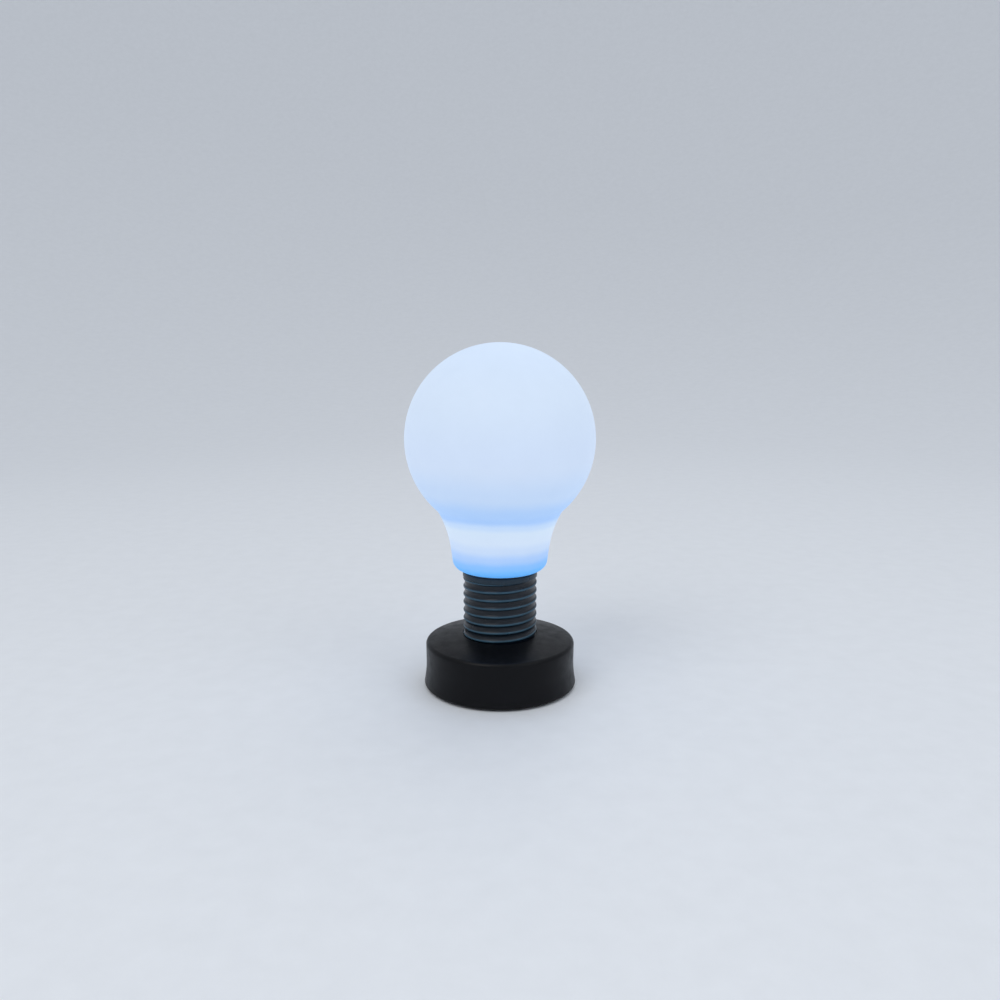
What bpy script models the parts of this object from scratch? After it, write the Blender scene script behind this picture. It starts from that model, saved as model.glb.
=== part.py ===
"""Cordless bulb-shaped smart lamp, modelled in metres with +Z up.

The lamp stands on its rubber feet at z = 0, its axis is the Z axis, and its back
(button and charging socket) faces +Y. Every object is one real piece.
"""
from math import acos, atan2, cos, pi, radians, sin, sqrt

import bmesh
import bpy
from mathutils import Matrix, Vector

mm = 0.001

# ---------------------------------------------------------------- clearances
seat_gap = 0.3 * mm          # between pieces that rest on, or fit in, each other
screw_gap = 0.3 * mm         # around a screw's shank
swing_gap = 0.3 * mm         # beside the turning parts of the door hinge
button_gap = 0.3 * mm        # around the button in its hole

# ------------------------------------------------------------------- outside
globe_radius = 55.0 * mm
shade_wall = 1.8 * mm
shade_overhang = 5.85 * mm           # the shade's waist stands this far out of the collar
lip_round = 6.0 * mm
taper_length = 7.0 * mm
taper_slope = radians(7.5)           # from the vertical
flare_radius = 66.0 * mm
crease_slope = radians(29.0)         # from the vertical, where the flare meets the globe
neck_length = 38.84 * mm             # what stands above the base
neck_crest_radius = 21.8 * mm
collar_step = 0.2 * mm               # the collar stands this far out of the ridge
collar_height = 3.4 * mm
thread_pitch = 4.85 * mm
thread_depth = 0.85 * mm
thread_flank = 0.16                  # share of the pitch, one side of the ridge
thread_crest = 0.18                  # share of the pitch, the ridge's crest
base_flare = 1.15 * mm               # how far the foot of the base swells
base_flare_height = 14.0 * mm        # the side swells below this
base_top_round = 2.5 * mm
crown_rise = 3.5 * mm                # the base's top rises this much from rim to neck
crown_swell = 0.4 * mm               # and bulges this much between them
base_foot_round = 1.5 * mm
rim_height = 1.0 * mm                # the rim's clearance from the floor

# ----------------------------------------------------------- walls and floor
base_wall = 2.2 * mm
base_roof = 2.4 * mm
neck_recess = 0.8 * mm               # the neck sinks this far into the roof
cable_port_radius = 10.0 * mm
cable_lane = 6.2 * mm                # height above the battery tray
electronics_bay = 18.35 * mm         # depth behind the battery tray
neck_wall = 3.15 * mm                # from the thread's root to the bore
column_radius = 3.0 * mm             # screw columns inside the neck
column_bury = 0.8 * mm               # how far a column sinks into the wall
plate_thickness = 2.8 * mm
plate_recess = 0.4 * mm              # the plate's face sits above the rim
seal_thickness = 0.6 * mm
seal_gap = 0.2 * mm

# --------------------------------------------------------------- shade mount
lip_seat = 1.8 * mm                  # from the mount to the collar's edge
mount_floor = 2.5 * mm
mount_height = 5.6 * mm
mount_wall = 2.4 * mm
mount_port_radius = 5.2 * mm
lug_reach = 1.3 * mm
lug_height = 2.0 * mm
lug_width = radians(22.0)
lug_count = 3
twist_range = radians(40.0)          # from locked to free
stop_width = radians(4.0)
stop_height = 1.2 * mm

# --------------------------------------------------------------- light engine
spreader_step = 1.0 * mm             # the spreader is this much smaller than the mount
spreader_thickness = 3.0 * mm
spreader_port_radius = 7.0 * mm
led_board_step = 0.7 * mm
board_thickness = 1.6 * mm
led_size = 5.0 * mm
led_height = 1.6 * mm
led_circle = 10.8 * mm
led_count = 6
led_boss_radius = 2.7 * mm

# ------------------------------------------------------------------- fasteners
screw_radius = 1.1 * mm
screw_head_radius = 2.2 * mm
screw_head_height = 1.3 * mm
screw_length = 7.5 * mm
short_screw_length = 5.0 * mm
led_screw_length = 7.0 * mm

# ------------------------------------------------------------------- batteries
cell_radius = 7.1 * mm
cell_length = 50.5 * mm
cell_nub_radius = 2.7 * mm
cell_nub_height = 1.2 * mm
cell_space = 0.9 * mm                # between neighbouring cells
cell_count = 3
cell_lift = 0.5 * mm                 # from the closed door
spring_length = 3.2 * mm
contact_thickness = 0.4 * mm
contact_width = 9.0 * mm
tray_wall = 1.2 * mm

# --------------------------------------------------------------- battery door
door_thickness = 1.8 * mm
door_overlap = 1.5 * mm              # rests on the plate's ledge all round
door_corner = 3.0 * mm
knuckle_radius = 2.0 * mm
knuckle_reach = 2.3 * mm             # pin axis from the door's edge
knuckle_end = 11.0 * mm
knuckle_middle = 3.7 * mm
pin_radius = 0.8 * mm
door_swing_room = 1.2 * mm           # the door's hinged edge turns into this
scoop_radius = 5.0 * mm              # finger scoop at the door's free edge
scoop_depth = 1.2 * mm

# --------------------------------------------------------- control electronics
board_edge_space = 3.5 * mm          # from the board's round edge to the wall
board_tray_space = 1.2 * mm
board_half_width = 25.5 * mm
board_standoff = 4.5 * mm
board_post_radius = 2.6 * mm
board_screw_inset = 4.0 * mm         # from the board's ends
board_screw_setback = 3.3 * mm       # from the board's straight edge
usb_angle = radians(108.0)
usb_width = 9.0 * mm
usb_height = 3.2 * mm
usb_depth = 7.4 * mm
usb_setback = 1.1 * mm               # mouth behind the outside of the base
button_angle = radians(72.0)
button_radius = 3.2 * mm
button_flange_radius = 4.2 * mm
button_flange_thickness = 1.2 * mm
button_proud = 0.7 * mm
button_travel = 0.8 * mm
switch_depth = 2.9 * mm
switch_height = 3.7 * mm
cable_radius = 1.0 * mm
lead_radius = 0.6 * mm

# ------------------------------------------------------------------- placing
foot_radius = 3.6 * mm
foot_height = 2.0 * mm
foot_hinge_space = 2.1 * mm          # from the open door to a foot
lead_lane = 3.25 * mm                # between the tray's end and the screw bosses
base_screw_y = 12.0 * mm
base_boss_radius = 3.2 * mm
boss_cover = 0.7 * mm                # from a boss's buried top to the rim's height

# ------------------------------------------------------------------- fineness
round_steps = 36
thread_steps = 24            # for each turn
small_steps = 16
screw_steps = 10
volume_slack = 1.001         # a Boolean may change its target by this much of the tool's volume

# ---------------------------------------------------------- sizes that follow
cell_pitch = 2 * cell_radius + cell_space
tray_half_x = (cell_length + spring_length) / 2 + 2 * seat_gap + contact_thickness
tray_half_y = cell_pitch * (cell_count - 1) / 2 + cell_radius + seat_gap
base_inner_radius = tray_half_y + tray_wall + electronics_bay
base_radius = base_inner_radius + base_wall
base_foot_radius = base_radius + base_flare
plate_radius = base_inner_radius - seat_gap
neck_root_radius = neck_crest_radius - thread_depth
neck_bore_radius = neck_root_radius - neck_wall
neck_collar_radius = neck_crest_radius + collar_step
column_circle = neck_bore_radius - column_radius + column_bury
mount_radius = neck_collar_radius - lip_seat
lip_inner_radius = mount_radius + seat_gap
shade_waist_radius = neck_collar_radius + shade_overhang
spreader_radius = mount_radius - spreader_step
led_board_radius = spreader_radius - led_board_step
led_screw_circle = mount_radius - mount_wall - led_boss_radius - 0.1 * mm

# -------------------------------------------------- heights above the floor
plate_bottom = rim_height + plate_recess
plate_top = plate_bottom + plate_thickness
door_top = plate_bottom + door_thickness
cell_height = door_top + cell_lift + cell_radius
tray_ceiling = cell_height + cell_radius + seat_gap
eaves_bottom = tray_ceiling + tray_wall + cable_lane
base_height = eaves_bottom + base_roof
crown_height = base_height + crown_rise
roof_bottom = crown_height - base_roof
neck_bottom = crown_height - neck_recess + seat_gap
neck_top = crown_height + neck_length
shade_bottom = neck_top + seal_thickness + 2 * seal_gap
mount_bottom = neck_top + seat_gap
mount_top = mount_bottom + mount_height
mount_floor_top = mount_bottom + mount_floor
spreader_bottom = mount_top + seat_gap
led_board_bottom = spreader_bottom + spreader_thickness + seat_gap
led_board_top = led_board_bottom + board_thickness
board_bottom = plate_top + board_standoff + seat_gap
board_top = board_bottom + board_thickness
part_floor = board_top + seat_gap            # underside of parts on the board
button_height = part_floor + switch_height / 2

# ------------------------------------------------- places in the base's plan
door_half_x = tray_half_x + door_overlap
door_half_y = tray_half_y + door_overlap
hinge_y = -(door_half_y + knuckle_reach)
hinge_z = plate_bottom + knuckle_radius
foot_y = knuckle_radius + foot_hinge_space + foot_radius - hinge_y
base_screw_x = tray_half_x + tray_wall + lead_lane + base_boss_radius
board_radius = base_inner_radius - board_edge_space
board_front_y = tray_half_y + tray_wall + board_tray_space
board_screw_x = board_half_width - board_screw_inset
board_screw_y = board_front_y + board_screw_setback
column_angles = [radians(30), radians(150), radians(270)]
mount_angle_step = 2 * pi / lug_count


# ------------------------------------------------------------------ materials
def finish(name, colour, roughness, metallic=0.0, glow=0.0):
    material = bpy.data.materials.new(name)
    material.use_nodes = True
    shader = material.node_tree.nodes["Principled BSDF"]
    shader.inputs["Base Color"].default_value = (*colour, 1.0)
    shader.inputs["Roughness"].default_value = roughness
    shader.inputs["Metallic"].default_value = metallic
    if glow:
        shader.inputs["Emission Color"].default_value = (*colour, 1.0)
        shader.inputs["Emission Strength"].default_value = glow
    material.diffuse_color = (*colour, 1.0)
    return material


# -------------------------------------------------------------------- helpers
def make_object(name, mesh_data, material=None, smooth=True):
    thing = bpy.data.objects.new(name, mesh_data)
    bpy.context.scene.collection.objects.link(thing)
    if material is not None:
        mesh_data.materials.append(material)
    if smooth and isinstance(mesh_data, bpy.types.Mesh):
        mesh_data.shade_smooth()
        mesh_data.set_sharp_from_angle(angle=radians(35))
    return thing


def solid(name, shape, material, smooth=True):
    """Turns a bmesh into a named piece."""
    bmesh.ops.recalc_face_normals(shape, faces=shape.faces)
    mesh_data = bpy.data.meshes.new(name)
    shape.to_mesh(mesh_data)
    shape.free()
    return make_object(name, mesh_data, material, smooth)


def volume(thing):
    """The volume of the piece with its modifiers applied."""
    evaluated = thing.evaluated_get(bpy.context.evaluated_depsgraph_get())
    shape = bmesh.new()
    shape.from_mesh(evaluated.to_mesh())
    amount = shape.calc_volume()
    shape.free()
    evaluated.to_mesh_clear()
    return amount


def shape_with(target, name, shape, operation):
    """Adds or removes the bmesh's solids from the target by a Boolean modifier.

    Stops the build if that loses the target, does nothing, or changes more than the shape holds.
    """
    guide = solid(name, shape, None, smooth=False)
    guide.hide_render = True
    guide.display_type = 'WIRE'
    before = volume(target)
    modifier = target.modifiers.new(name, 'BOOLEAN')
    modifier.operation = operation
    modifier.solver = 'EXACT'
    modifier.object = guide
    change = volume(target) - before
    if operation == 'DIFFERENCE':
        change = -change
    if not 0 < change < volume_slack * volume(guide):
        raise ValueError(f"{name} does not shape {target.name} as it should")


def cut(target, name, shape):
    shape_with(target, name, shape, 'DIFFERENCE')


def add(target, name, shape):
    shape_with(target, name, shape, 'UNION')


def set_origin(thing, point):
    """Moves the object's origin to the point and leaves its shape where it is."""
    thing.data.transform(Matrix.Translation(-Vector(point)))
    thing.location = point


def box(shape, low, high, bevel=0.0):
    low = Vector(low)
    high = Vector(high)
    made = bmesh.ops.create_cube(shape, size=1.0)["verts"]
    bmesh.ops.scale(shape, vec=high - low, verts=made)
    bmesh.ops.translate(shape, vec=(low + high) / 2, verts=made)
    if bevel:
        edges = list({edge for vert in made for edge in vert.link_edges})
        bmesh.ops.bevel(shape, geom=edges, offset=bevel, segments=1, affect='EDGES',
                        profile=0.5, material=-1)


def cylinder(shape, x, y, radius, low, high, steps=small_steps):
    matrix = Matrix.Translation((x, y, (low + high) / 2))
    bmesh.ops.create_cone(shape, cap_ends=True, segments=steps, radius1=radius,
                          radius2=radius, depth=high - low, matrix=matrix)


def prism(shape, outline, low, high):
    """Extrudes a flat outline of (x, y) points from one height to another."""
    corners = [shape.verts.new((x, y, low)) for x, y in outline]
    face = shape.faces.new(corners)
    made = bmesh.ops.extrude_face_region(shape, geom=[face])["geom"]
    lifted = [item for item in made if isinstance(item, bmesh.types.BMVert)]
    bmesh.ops.translate(shape, vec=(0, 0, high - low), verts=lifted)


def turn(shape, profile, steps=round_steps, closed=True, start=0.0, angle=2 * pi):
    """Spins (radius, height) points about Z, a full turn or a sector with ends."""
    points = [shape.verts.new((r * cos(start), r * sin(start), z)) for r, z in profile]
    pairs = list(zip(points, points[1:]))
    if closed:
        pairs.append((points[-1], points[0]))
    edges = [shape.edges.new(pair) for pair in pairs]
    full = angle > 2 * pi - 0.001
    geometry = points + edges
    if not full:
        geometry = geometry + [shape.faces.new(points)]
    bmesh.ops.spin(shape, geom=geometry, cent=(0, 0, 0), axis=(0, 0, 1), angle=angle,
                   steps=steps, use_merge=full, use_duplicate=False)
    bmesh.ops.remove_doubles(shape, verts=shape.verts, dist=0.001 * mm)


def turned(name, profile, material, steps=round_steps, closed=True):
    shape = bmesh.new()
    turn(shape, profile, steps, closed)
    return solid(name, shape, material)


def arc(centre, radius, first, last, count):
    """Points on an arc in the (radius, height) plane, both ends included."""
    angles = [first + (last - first) * step / count for step in range(count + 1)]
    return [(centre[0] + radius * cos(a), centre[1] + radius * sin(a)) for a in angles]


def around(circle, angle):
    return (circle * cos(angle), circle * sin(angle))


def move_to_wall(shape, angle, height, reach=0.0):
    """Turns a shape made along +X so that it points outwards at the angle."""
    place = Matrix.Rotation(angle, 4, 'Z') @ Matrix.Translation((reach, 0, height))
    bmesh.ops.transform(shape, matrix=place, verts=shape.verts)


def rounded_outline(half_x, half_y, corner, count=4):
    outline = []
    for quarter, (sx, sy) in enumerate([(1, 1), (-1, 1), (-1, -1), (1, -1)]):
        centre = (sx * (half_x - corner), sy * (half_y - corner))
        outline += arc(centre, corner, quarter * pi / 2, (quarter + 1) * pi / 2, count)
    return outline


def wire(name, points, radius, material, resolution=2):
    """A round wire along the points, as a bevelled curve with closed ends."""
    curve = bpy.data.curves.new(name, 'CURVE')
    curve.dimensions = '3D'
    curve.bevel_depth = radius
    curve.bevel_resolution = resolution
    curve.use_fill_caps = True
    spline = curve.splines.new('POLY')
    spline.points.add(len(points) - 1)
    for target, point in zip(spline.points, points):
        target.co = (*point, 1.0)
    thing = make_object(name, curve, material)
    return thing


def smooth_route(stations, spacing):
    """Points at about the spacing along a Catmull-Rom curve through the stations."""
    stations = [Vector(point) for point in stations]
    ends = [2 * stations[0] - stations[1]] + stations + [2 * stations[-1] - stations[-2]]
    points = []
    for index in range(1, len(ends) - 2):
        p0, p1, p2, p3 = ends[index - 1:index + 3]
        pieces = max(2, round((p2 - p1).length / spacing))
        for piece in range(pieces):
            t = piece / pieces
            points.append(0.5 * (2 * p1 + (p2 - p0) * t
                                 + (2 * p0 - 5 * p1 + 4 * p2 - p3) * t ** 2
                                 + (3 * p1 - p0 - 3 * p2 + p3) * t ** 3))
    points.append(stations[-1])
    return points


# ------------------------------------------------------------------ fasteners
def screw(name, x, y, seat, length, material, up=True):
    """A cross-head screw whose head's inner face lies at the seat height."""
    sense = 1 if up else -1
    head = screw_head_height
    profile = [(0, 0), (screw_head_radius * 0.86, 0), (screw_head_radius, 0.25 * head),
               (screw_head_radius, head), (screw_radius, head),
               (screw_radius, head + 0.86 * length), (0.4 * screw_radius, head + length),
               (0, head + length)]
    shape = bmesh.new()
    turn(shape, profile, screw_steps, closed=False)
    arm = 0.62 * screw_head_radius
    half = 0.16 * screw_head_radius
    outline = [(arm, -half), (arm, half), (half, half), (half, arm), (-half, arm),
               (-half, half), (-arm, half), (-arm, -half), (-half, -half), (-half, -arm),
               (half, -arm), (half, -half)]
    recess = bmesh.new()
    prism(recess, outline, -0.5 * head, 0.55 * head)
    place = Matrix.Translation((x, y, seat - sense * head))
    if not up:
        place = place @ Matrix.Rotation(pi, 4, 'X')
    for made in (shape, recess):
        bmesh.ops.transform(made, matrix=place, verts=made.verts)
    piece = solid(name, shape, material)
    cut(piece, name + "_recess", recess)
    return piece


# ---------------------------------------------------------------------- shade
def slope_normal(slope):
    """Outward normal, in (radius, height), of a wall leaning in downwards."""
    return (cos(slope), -sin(slope))


def shade_side(inset, facets):
    """The shade's wall from pole to lip, moved inwards by the inset."""
    low = slope_normal(taper_slope)
    high = slope_normal(crease_slope)
    waist_z = shade_bottom + lip_round - lip_round * sin(taper_slope)
    lip_centre = (shade_waist_radius - lip_round * low[0], shade_bottom + lip_round)
    flare_end = (shade_waist_radius + taper_length * sin(taper_slope),
                 waist_z + taper_length * cos(taper_slope))
    flare_centre = (flare_end[0] + flare_radius * low[0], flare_end[1] + flare_radius * low[1])
    crease = (flare_centre[0] - flare_radius * high[0], flare_centre[1] - flare_radius * high[1])
    globe_z = crease[1] + sqrt(globe_radius ** 2 - crease[0] ** 2)
    crease_angle = -acos(crease[0] / globe_radius)
    side = arc((0, globe_z), globe_radius - inset, pi / 2, 0, 2 * facets)[:-1]
    side[0] = (0, side[0][1])
    side += arc((0, globe_z), globe_radius - inset, 0, crease_angle, facets)
    side += arc(flare_centre, flare_radius + inset, pi - crease_slope, pi - taper_slope, 3)
    side += arc(lip_centre, lip_round - inset, -taper_slope, -pi / 2, facets)
    return side


def make_shade(material):
    outer = shade_side(0.0, 4)
    inner = shade_side(shade_wall, 3)
    lip = [(lip_inner_radius, shade_bottom), (lip_inner_radius, shade_bottom + shade_wall)]
    shade = turned("shade", outer + lip + inner[::-1], material, closed=False)

    stops = bmesh.new()
    notches = bmesh.new()
    low = shade_bottom + shade_wall
    lug_edge = mount_radius + lug_reach + seat_gap
    for index in range(lug_count):
        lug_angle = index * mount_angle_step
        play = radians(1.0)
        first_stop = lug_angle + lug_width / 2 + play
        last_stop = lug_angle - twist_range - lug_width / 2 - play - stop_width
        for start in (first_stop, last_stop):
            rib = [(lip_inner_radius + 0.2 * mm, low - 0.4 * mm), (lug_edge, low - 0.4 * mm),
                   (lug_edge, low + stop_height), (lip_inner_radius + 0.2 * mm, low + stop_height)]
            turn(stops, rib, steps=1, start=start, angle=stop_width)
        notch = [(mount_radius - 1.0 * mm, shade_bottom - 1.0 * mm),
                 (lug_edge, shade_bottom - 1.0 * mm),
                 (lug_edge, low + 0.5 * mm), (mount_radius - 1.0 * mm, low + 0.5 * mm)]
        turn(notches, notch, steps=4, start=lug_angle - twist_range - lug_width / 2 - play,
             angle=lug_width + 2 * play)
    add(shade, "shade_stops", stops)
    cut(shade, "shade_notches", notches)
    set_origin(shade, (0, 0, shade_bottom))
    return shade


def make_seal(material):
    low = neck_top + seal_gap
    high = low + seal_thickness
    profile = [(mount_radius + seat_gap, low), (neck_collar_radius - 0.2 * mm, low),
               (neck_collar_radius - 0.2 * mm, high), (mount_radius + seat_gap, high)]
    return turned("shade_seal", profile, material)


# ----------------------------------------------------------------------- neck
def thread_solid():
    """A bar with one right-hand rounded ridge, cut flat at both ends."""
    turns = int((neck_top - neck_bottom) / thread_pitch) + 3
    flank = thread_flank * thread_pitch
    crest = thread_crest * thread_pitch
    profile = [(neck_root_radius, 0), (neck_crest_radius, flank),
               (neck_crest_radius, flank + crest), (neck_root_radius, 2 * flank + crest),
               (neck_root_radius, thread_pitch)]
    # the crest passes the front of the lamp one collar below the neck's top
    crest_middle = flank + crest / 2
    top_crest = neck_top - collar_height - thread_pitch
    start = top_crest - crest_middle - (turns - 1.25) * thread_pitch
    shape = bmesh.new()
    points = [shape.verts.new((r, 0, start + z)) for r, z in profile]
    edges = [shape.edges.new(pair) for pair in zip(points, points[1:])]
    bmesh.ops.spin(shape, geom=points + edges, cent=(0, 0, 0), axis=(0, 0, 1),
                   angle=2 * pi * turns, steps=thread_steps * turns,
                   dvec=(0, 0, thread_pitch / thread_steps), use_merge=False,
                   use_duplicate=False)
    bmesh.ops.remove_doubles(shape, verts=shape.verts, dist=0.01 * mm)
    for height, side in ((neck_top - collar_height / 2, 1), (neck_bottom, -1)):
        whole = list(shape.verts) + list(shape.edges) + list(shape.faces)
        bmesh.ops.bisect_plane(shape, geom=whole, dist=0.0001 * mm, plane_co=(0, 0, height),
                               plane_no=(0, 0, side), clear_outer=True)
    open_edges = [edge for edge in shape.edges if edge.is_boundary]
    caps = bmesh.ops.holes_fill(shape, edges=open_edges, sides=0)["faces"]
    bmesh.ops.triangulate(shape, faces=caps)
    return shape


def bore_outline():
    """The bore's round outline, bitten into by the three screw columns."""
    reach = (neck_bore_radius ** 2 + column_circle ** 2 - column_radius ** 2)
    half = acos(reach / (2 * neck_bore_radius * column_circle))
    across = neck_bore_radius * sin(half)
    bite = atan2(across, neck_bore_radius * cos(half) - column_circle)
    outline = []
    for angle in column_angles:
        centre = around(column_circle, angle)
        outline += arc(centre, column_radius, angle - bite, angle - 2 * pi + bite, 9)
        gap_end = angle + 2 * pi / len(column_angles) - half
        outline += arc((0, 0), neck_bore_radius, angle + half, gap_end, 9)[1:-1]
    return outline


def make_neck(material):
    neck = solid("threaded_neck", thread_solid(), material)
    collar = bmesh.new()
    edge = 0.4 * mm
    low = neck_top - collar_height
    turn(collar, [(0, low - edge), (neck_root_radius - edge, low - edge),
                  (neck_collar_radius, low + edge), (neck_collar_radius, neck_top - edge),
                  (neck_collar_radius - edge, neck_top), (0, neck_top)], closed=False)
    add(neck, "neck_collar", collar)

    bore = bmesh.new()
    prism(bore, bore_outline(), neck_bottom - 5 * mm, neck_top + 5 * mm)
    cut(neck, "neck_bore", bore)

    holes = bmesh.new()
    hole_depth = screw_length + 1.0 * mm
    for angle in column_angles:
        x, y = around(column_circle, angle)
        cylinder(holes, x, y, screw_radius + screw_gap, neck_bottom - mm,
                 neck_bottom + hole_depth - base_roof + neck_recess, screw_steps)
        cylinder(holes, x, y, screw_radius + screw_gap, neck_top - hole_depth + mount_floor,
                 neck_top + mm, screw_steps)
    cut(neck, "neck_column_holes", holes)
    return neck


# ---------------------------------------------------------------- shade mount
def make_mount(material):
    inner = mount_radius - mount_wall
    profile = [(mount_port_radius, mount_bottom), (mount_radius, mount_bottom),
               (mount_radius, mount_top), (inner, mount_top),
               (inner, mount_floor_top), (mount_port_radius, mount_floor_top)]
    mount = turned("shade_mount", profile, material)

    bosses = bmesh.new()
    for side in (-1, 1):
        cylinder(bosses, side * led_screw_circle, 0, led_boss_radius, mount_bottom + mm,
                 mount_top - 0.05 * mm)
    add(mount, "mount_bosses", bosses)

    lugs = bmesh.new()
    lug_bottom = shade_bottom + shade_wall + seat_gap
    reach = mount_radius + lug_reach
    for index in range(lug_count):
        lug = [(mount_radius - 1.0 * mm, lug_bottom), (reach, lug_bottom),
               (reach, lug_bottom + lug_height),
               (mount_radius - 1.0 * mm, lug_bottom + lug_height)]
        turn(lugs, lug, steps=5, start=index * mount_angle_step - lug_width / 2,
             angle=lug_width)
    add(mount, "mount_lugs", lugs)

    holes = bmesh.new()
    for angle in column_angles:
        x, y = around(column_circle, angle)
        cylinder(holes, x, y, screw_radius + screw_gap, mount_bottom - mm,
                 mount_floor_top + mm, screw_steps)
    for side in (-1, 1):
        cylinder(holes, side * led_screw_circle, 0, screw_radius + screw_gap,
                 mount_bottom + 1.2 * mm, mount_top + mm, screw_steps)
    cut(mount, "mount_holes", holes)
    return mount


# --------------------------------------------------------------- light engine
def make_spreader(material):
    top = spreader_bottom + spreader_thickness
    edge = 0.5 * mm
    profile = [(spreader_port_radius, spreader_bottom), (spreader_radius - edge, spreader_bottom),
               (spreader_radius, spreader_bottom + edge), (spreader_radius, top - edge),
               (spreader_radius - edge, top), (spreader_port_radius, top)]
    spreader = turned("heat_spreader", profile, material)
    holes = bmesh.new()
    for side in (-1, 1):
        cylinder(holes, side * led_screw_circle, 0, screw_radius + screw_gap,
                 spreader_bottom - mm, top + mm, screw_steps)
    cut(spreader, "spreader_holes", holes)
    return spreader


def make_led_board(material):
    shape = bmesh.new()
    cylinder(shape, 0, 0, led_board_radius, led_board_bottom, led_board_top, round_steps)
    board = solid("led_board", shape, material)
    holes = bmesh.new()
    for side in (-1, 1):
        cylinder(holes, side * led_screw_circle, 0, screw_radius + screw_gap,
                 led_board_bottom - mm, led_board_top + mm, screw_steps)
    cut(board, "led_board_holes", holes)
    return board


def make_led(index, material):
    """A square light-emitting package with a round well in its top."""
    angle = (index + 0.5) * 2 * pi / led_count
    low = led_board_top + seat_gap
    half = led_size / 2
    shape = bmesh.new()
    box(shape, (-half, -half, low), (half, half, low + led_height), bevel=0.2 * mm)
    well = bmesh.new()
    cylinder(well, 0, 0, 0.4 * led_size, low + 0.6 * led_height, low + led_height + mm)
    place = Matrix.Rotation(angle, 4, 'Z') @ Matrix.Translation((led_circle, 0, 0))
    for made in (shape, well):
        bmesh.ops.transform(made, matrix=place, verts=made.verts)
    led = solid(f"led_{index + 1}", shape, material, smooth=False)
    cut(led, f"led_{index + 1}_well", well)
    return led


def make_connector(name, centre, size, low, height, material):
    """A small rectangular plug or header with softened edges."""
    shape = bmesh.new()
    x, y = centre
    box(shape, (x - size[0] / 2, y - size[1] / 2, low),
        (x + size[0] / 2, y + size[1] / 2, low + height), bevel=0.3 * mm)
    return solid(name, shape, material, smooth=False)


# ----------------------------------------------------------------------- base
def base_profile():
    """The base housing's closed section, from the cable port round to it again."""
    recess_radius = neck_crest_radius + seat_gap
    recess_floor = crown_height - neck_recess
    top_centre = (base_radius - base_top_round, base_height - base_top_round)
    foot_centre = (base_foot_radius - base_foot_round, rim_height + base_foot_round)
    profile = [(cable_port_radius, recess_floor), (recess_radius, recess_floor),
               (recess_radius, crown_height)]
    edge = base_radius - base_top_round
    profile.append(((recess_radius + edge) / 2, (crown_height + base_height) / 2 + crown_swell))
    lean = atan2(crown_rise, edge - recess_radius)
    profile += arc(top_centre, base_top_round, pi / 2 - lean, 0, 3)
    blend = 3
    for step in range(1, blend):
        share = step / blend
        height = base_flare_height + (foot_centre[1] - base_flare_height) * share
        swell = (base_foot_radius - base_radius) * share ** 2
        profile.append((base_radius + swell, height))
    profile.insert(len(profile) - blend + 1, (base_radius, base_flare_height))
    profile += arc(foot_centre, base_foot_round, 0, -pi / 2, 3)
    profile += [(base_inner_radius, rim_height), (base_inner_radius, eaves_bottom),
                (recess_radius, roof_bottom), (cable_port_radius, roof_bottom)]
    return profile


def base_screw_places():
    return [(sx * base_screw_x, sy * base_screw_y) for sx in (1, -1) for sy in (1, -1)]


def make_housing(material):
    housing = turned("base_housing", base_profile(), material)

    bosses = bmesh.new()
    for x, y in base_screw_places():
        cylinder(bosses, x, y, base_boss_radius, plate_top + seat_gap, base_height - boss_cover)
    add(housing, "base_bosses", bosses)

    holes = bmesh.new()
    for x, y in base_screw_places():
        cylinder(holes, x, y, screw_radius + screw_gap, plate_top - mm,
                 plate_top + screw_length, screw_steps)
    for angle in column_angles:
        x, y = around(column_circle, angle)
        cylinder(holes, x, y, screw_radius + screw_gap, roof_bottom - mm, crown_height + mm,
                 screw_steps)
    cut(housing, "base_screw_holes", holes)

    slot = bmesh.new()
    outline = rounded_outline(usb_width / 2 + seat_gap, usb_height / 2 + seat_gap,
                              usb_height / 2, count=4)
    prism(slot, outline, 0, 3 * base_wall)
    bmesh.ops.transform(slot, verts=slot.verts,
                        matrix=Matrix(((0, 0, 1, 0), (1, 0, 0, 0), (0, 1, 0, 0), (0, 0, 0, 1))))
    move_to_wall(slot, usb_angle, part_floor + usb_height / 2, base_inner_radius - base_wall)
    cut(housing, "usb_slot", slot)

    hole = bmesh.new()
    cylinder(hole, 0, 0, button_radius + button_gap, 0, 3 * base_wall, 20)
    bmesh.ops.rotate(hole, cent=(0, 0, 0), matrix=Matrix.Rotation(pi / 2, 3, 'Y'),
                     verts=hole.verts)
    move_to_wall(hole, button_angle, button_height, base_inner_radius - base_wall)
    cut(housing, "button_hole", hole)
    return housing


def foot_places():
    return [(base_screw_x, 0), (0, foot_y), (-base_screw_x, 0), (0, -foot_y)]


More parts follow.
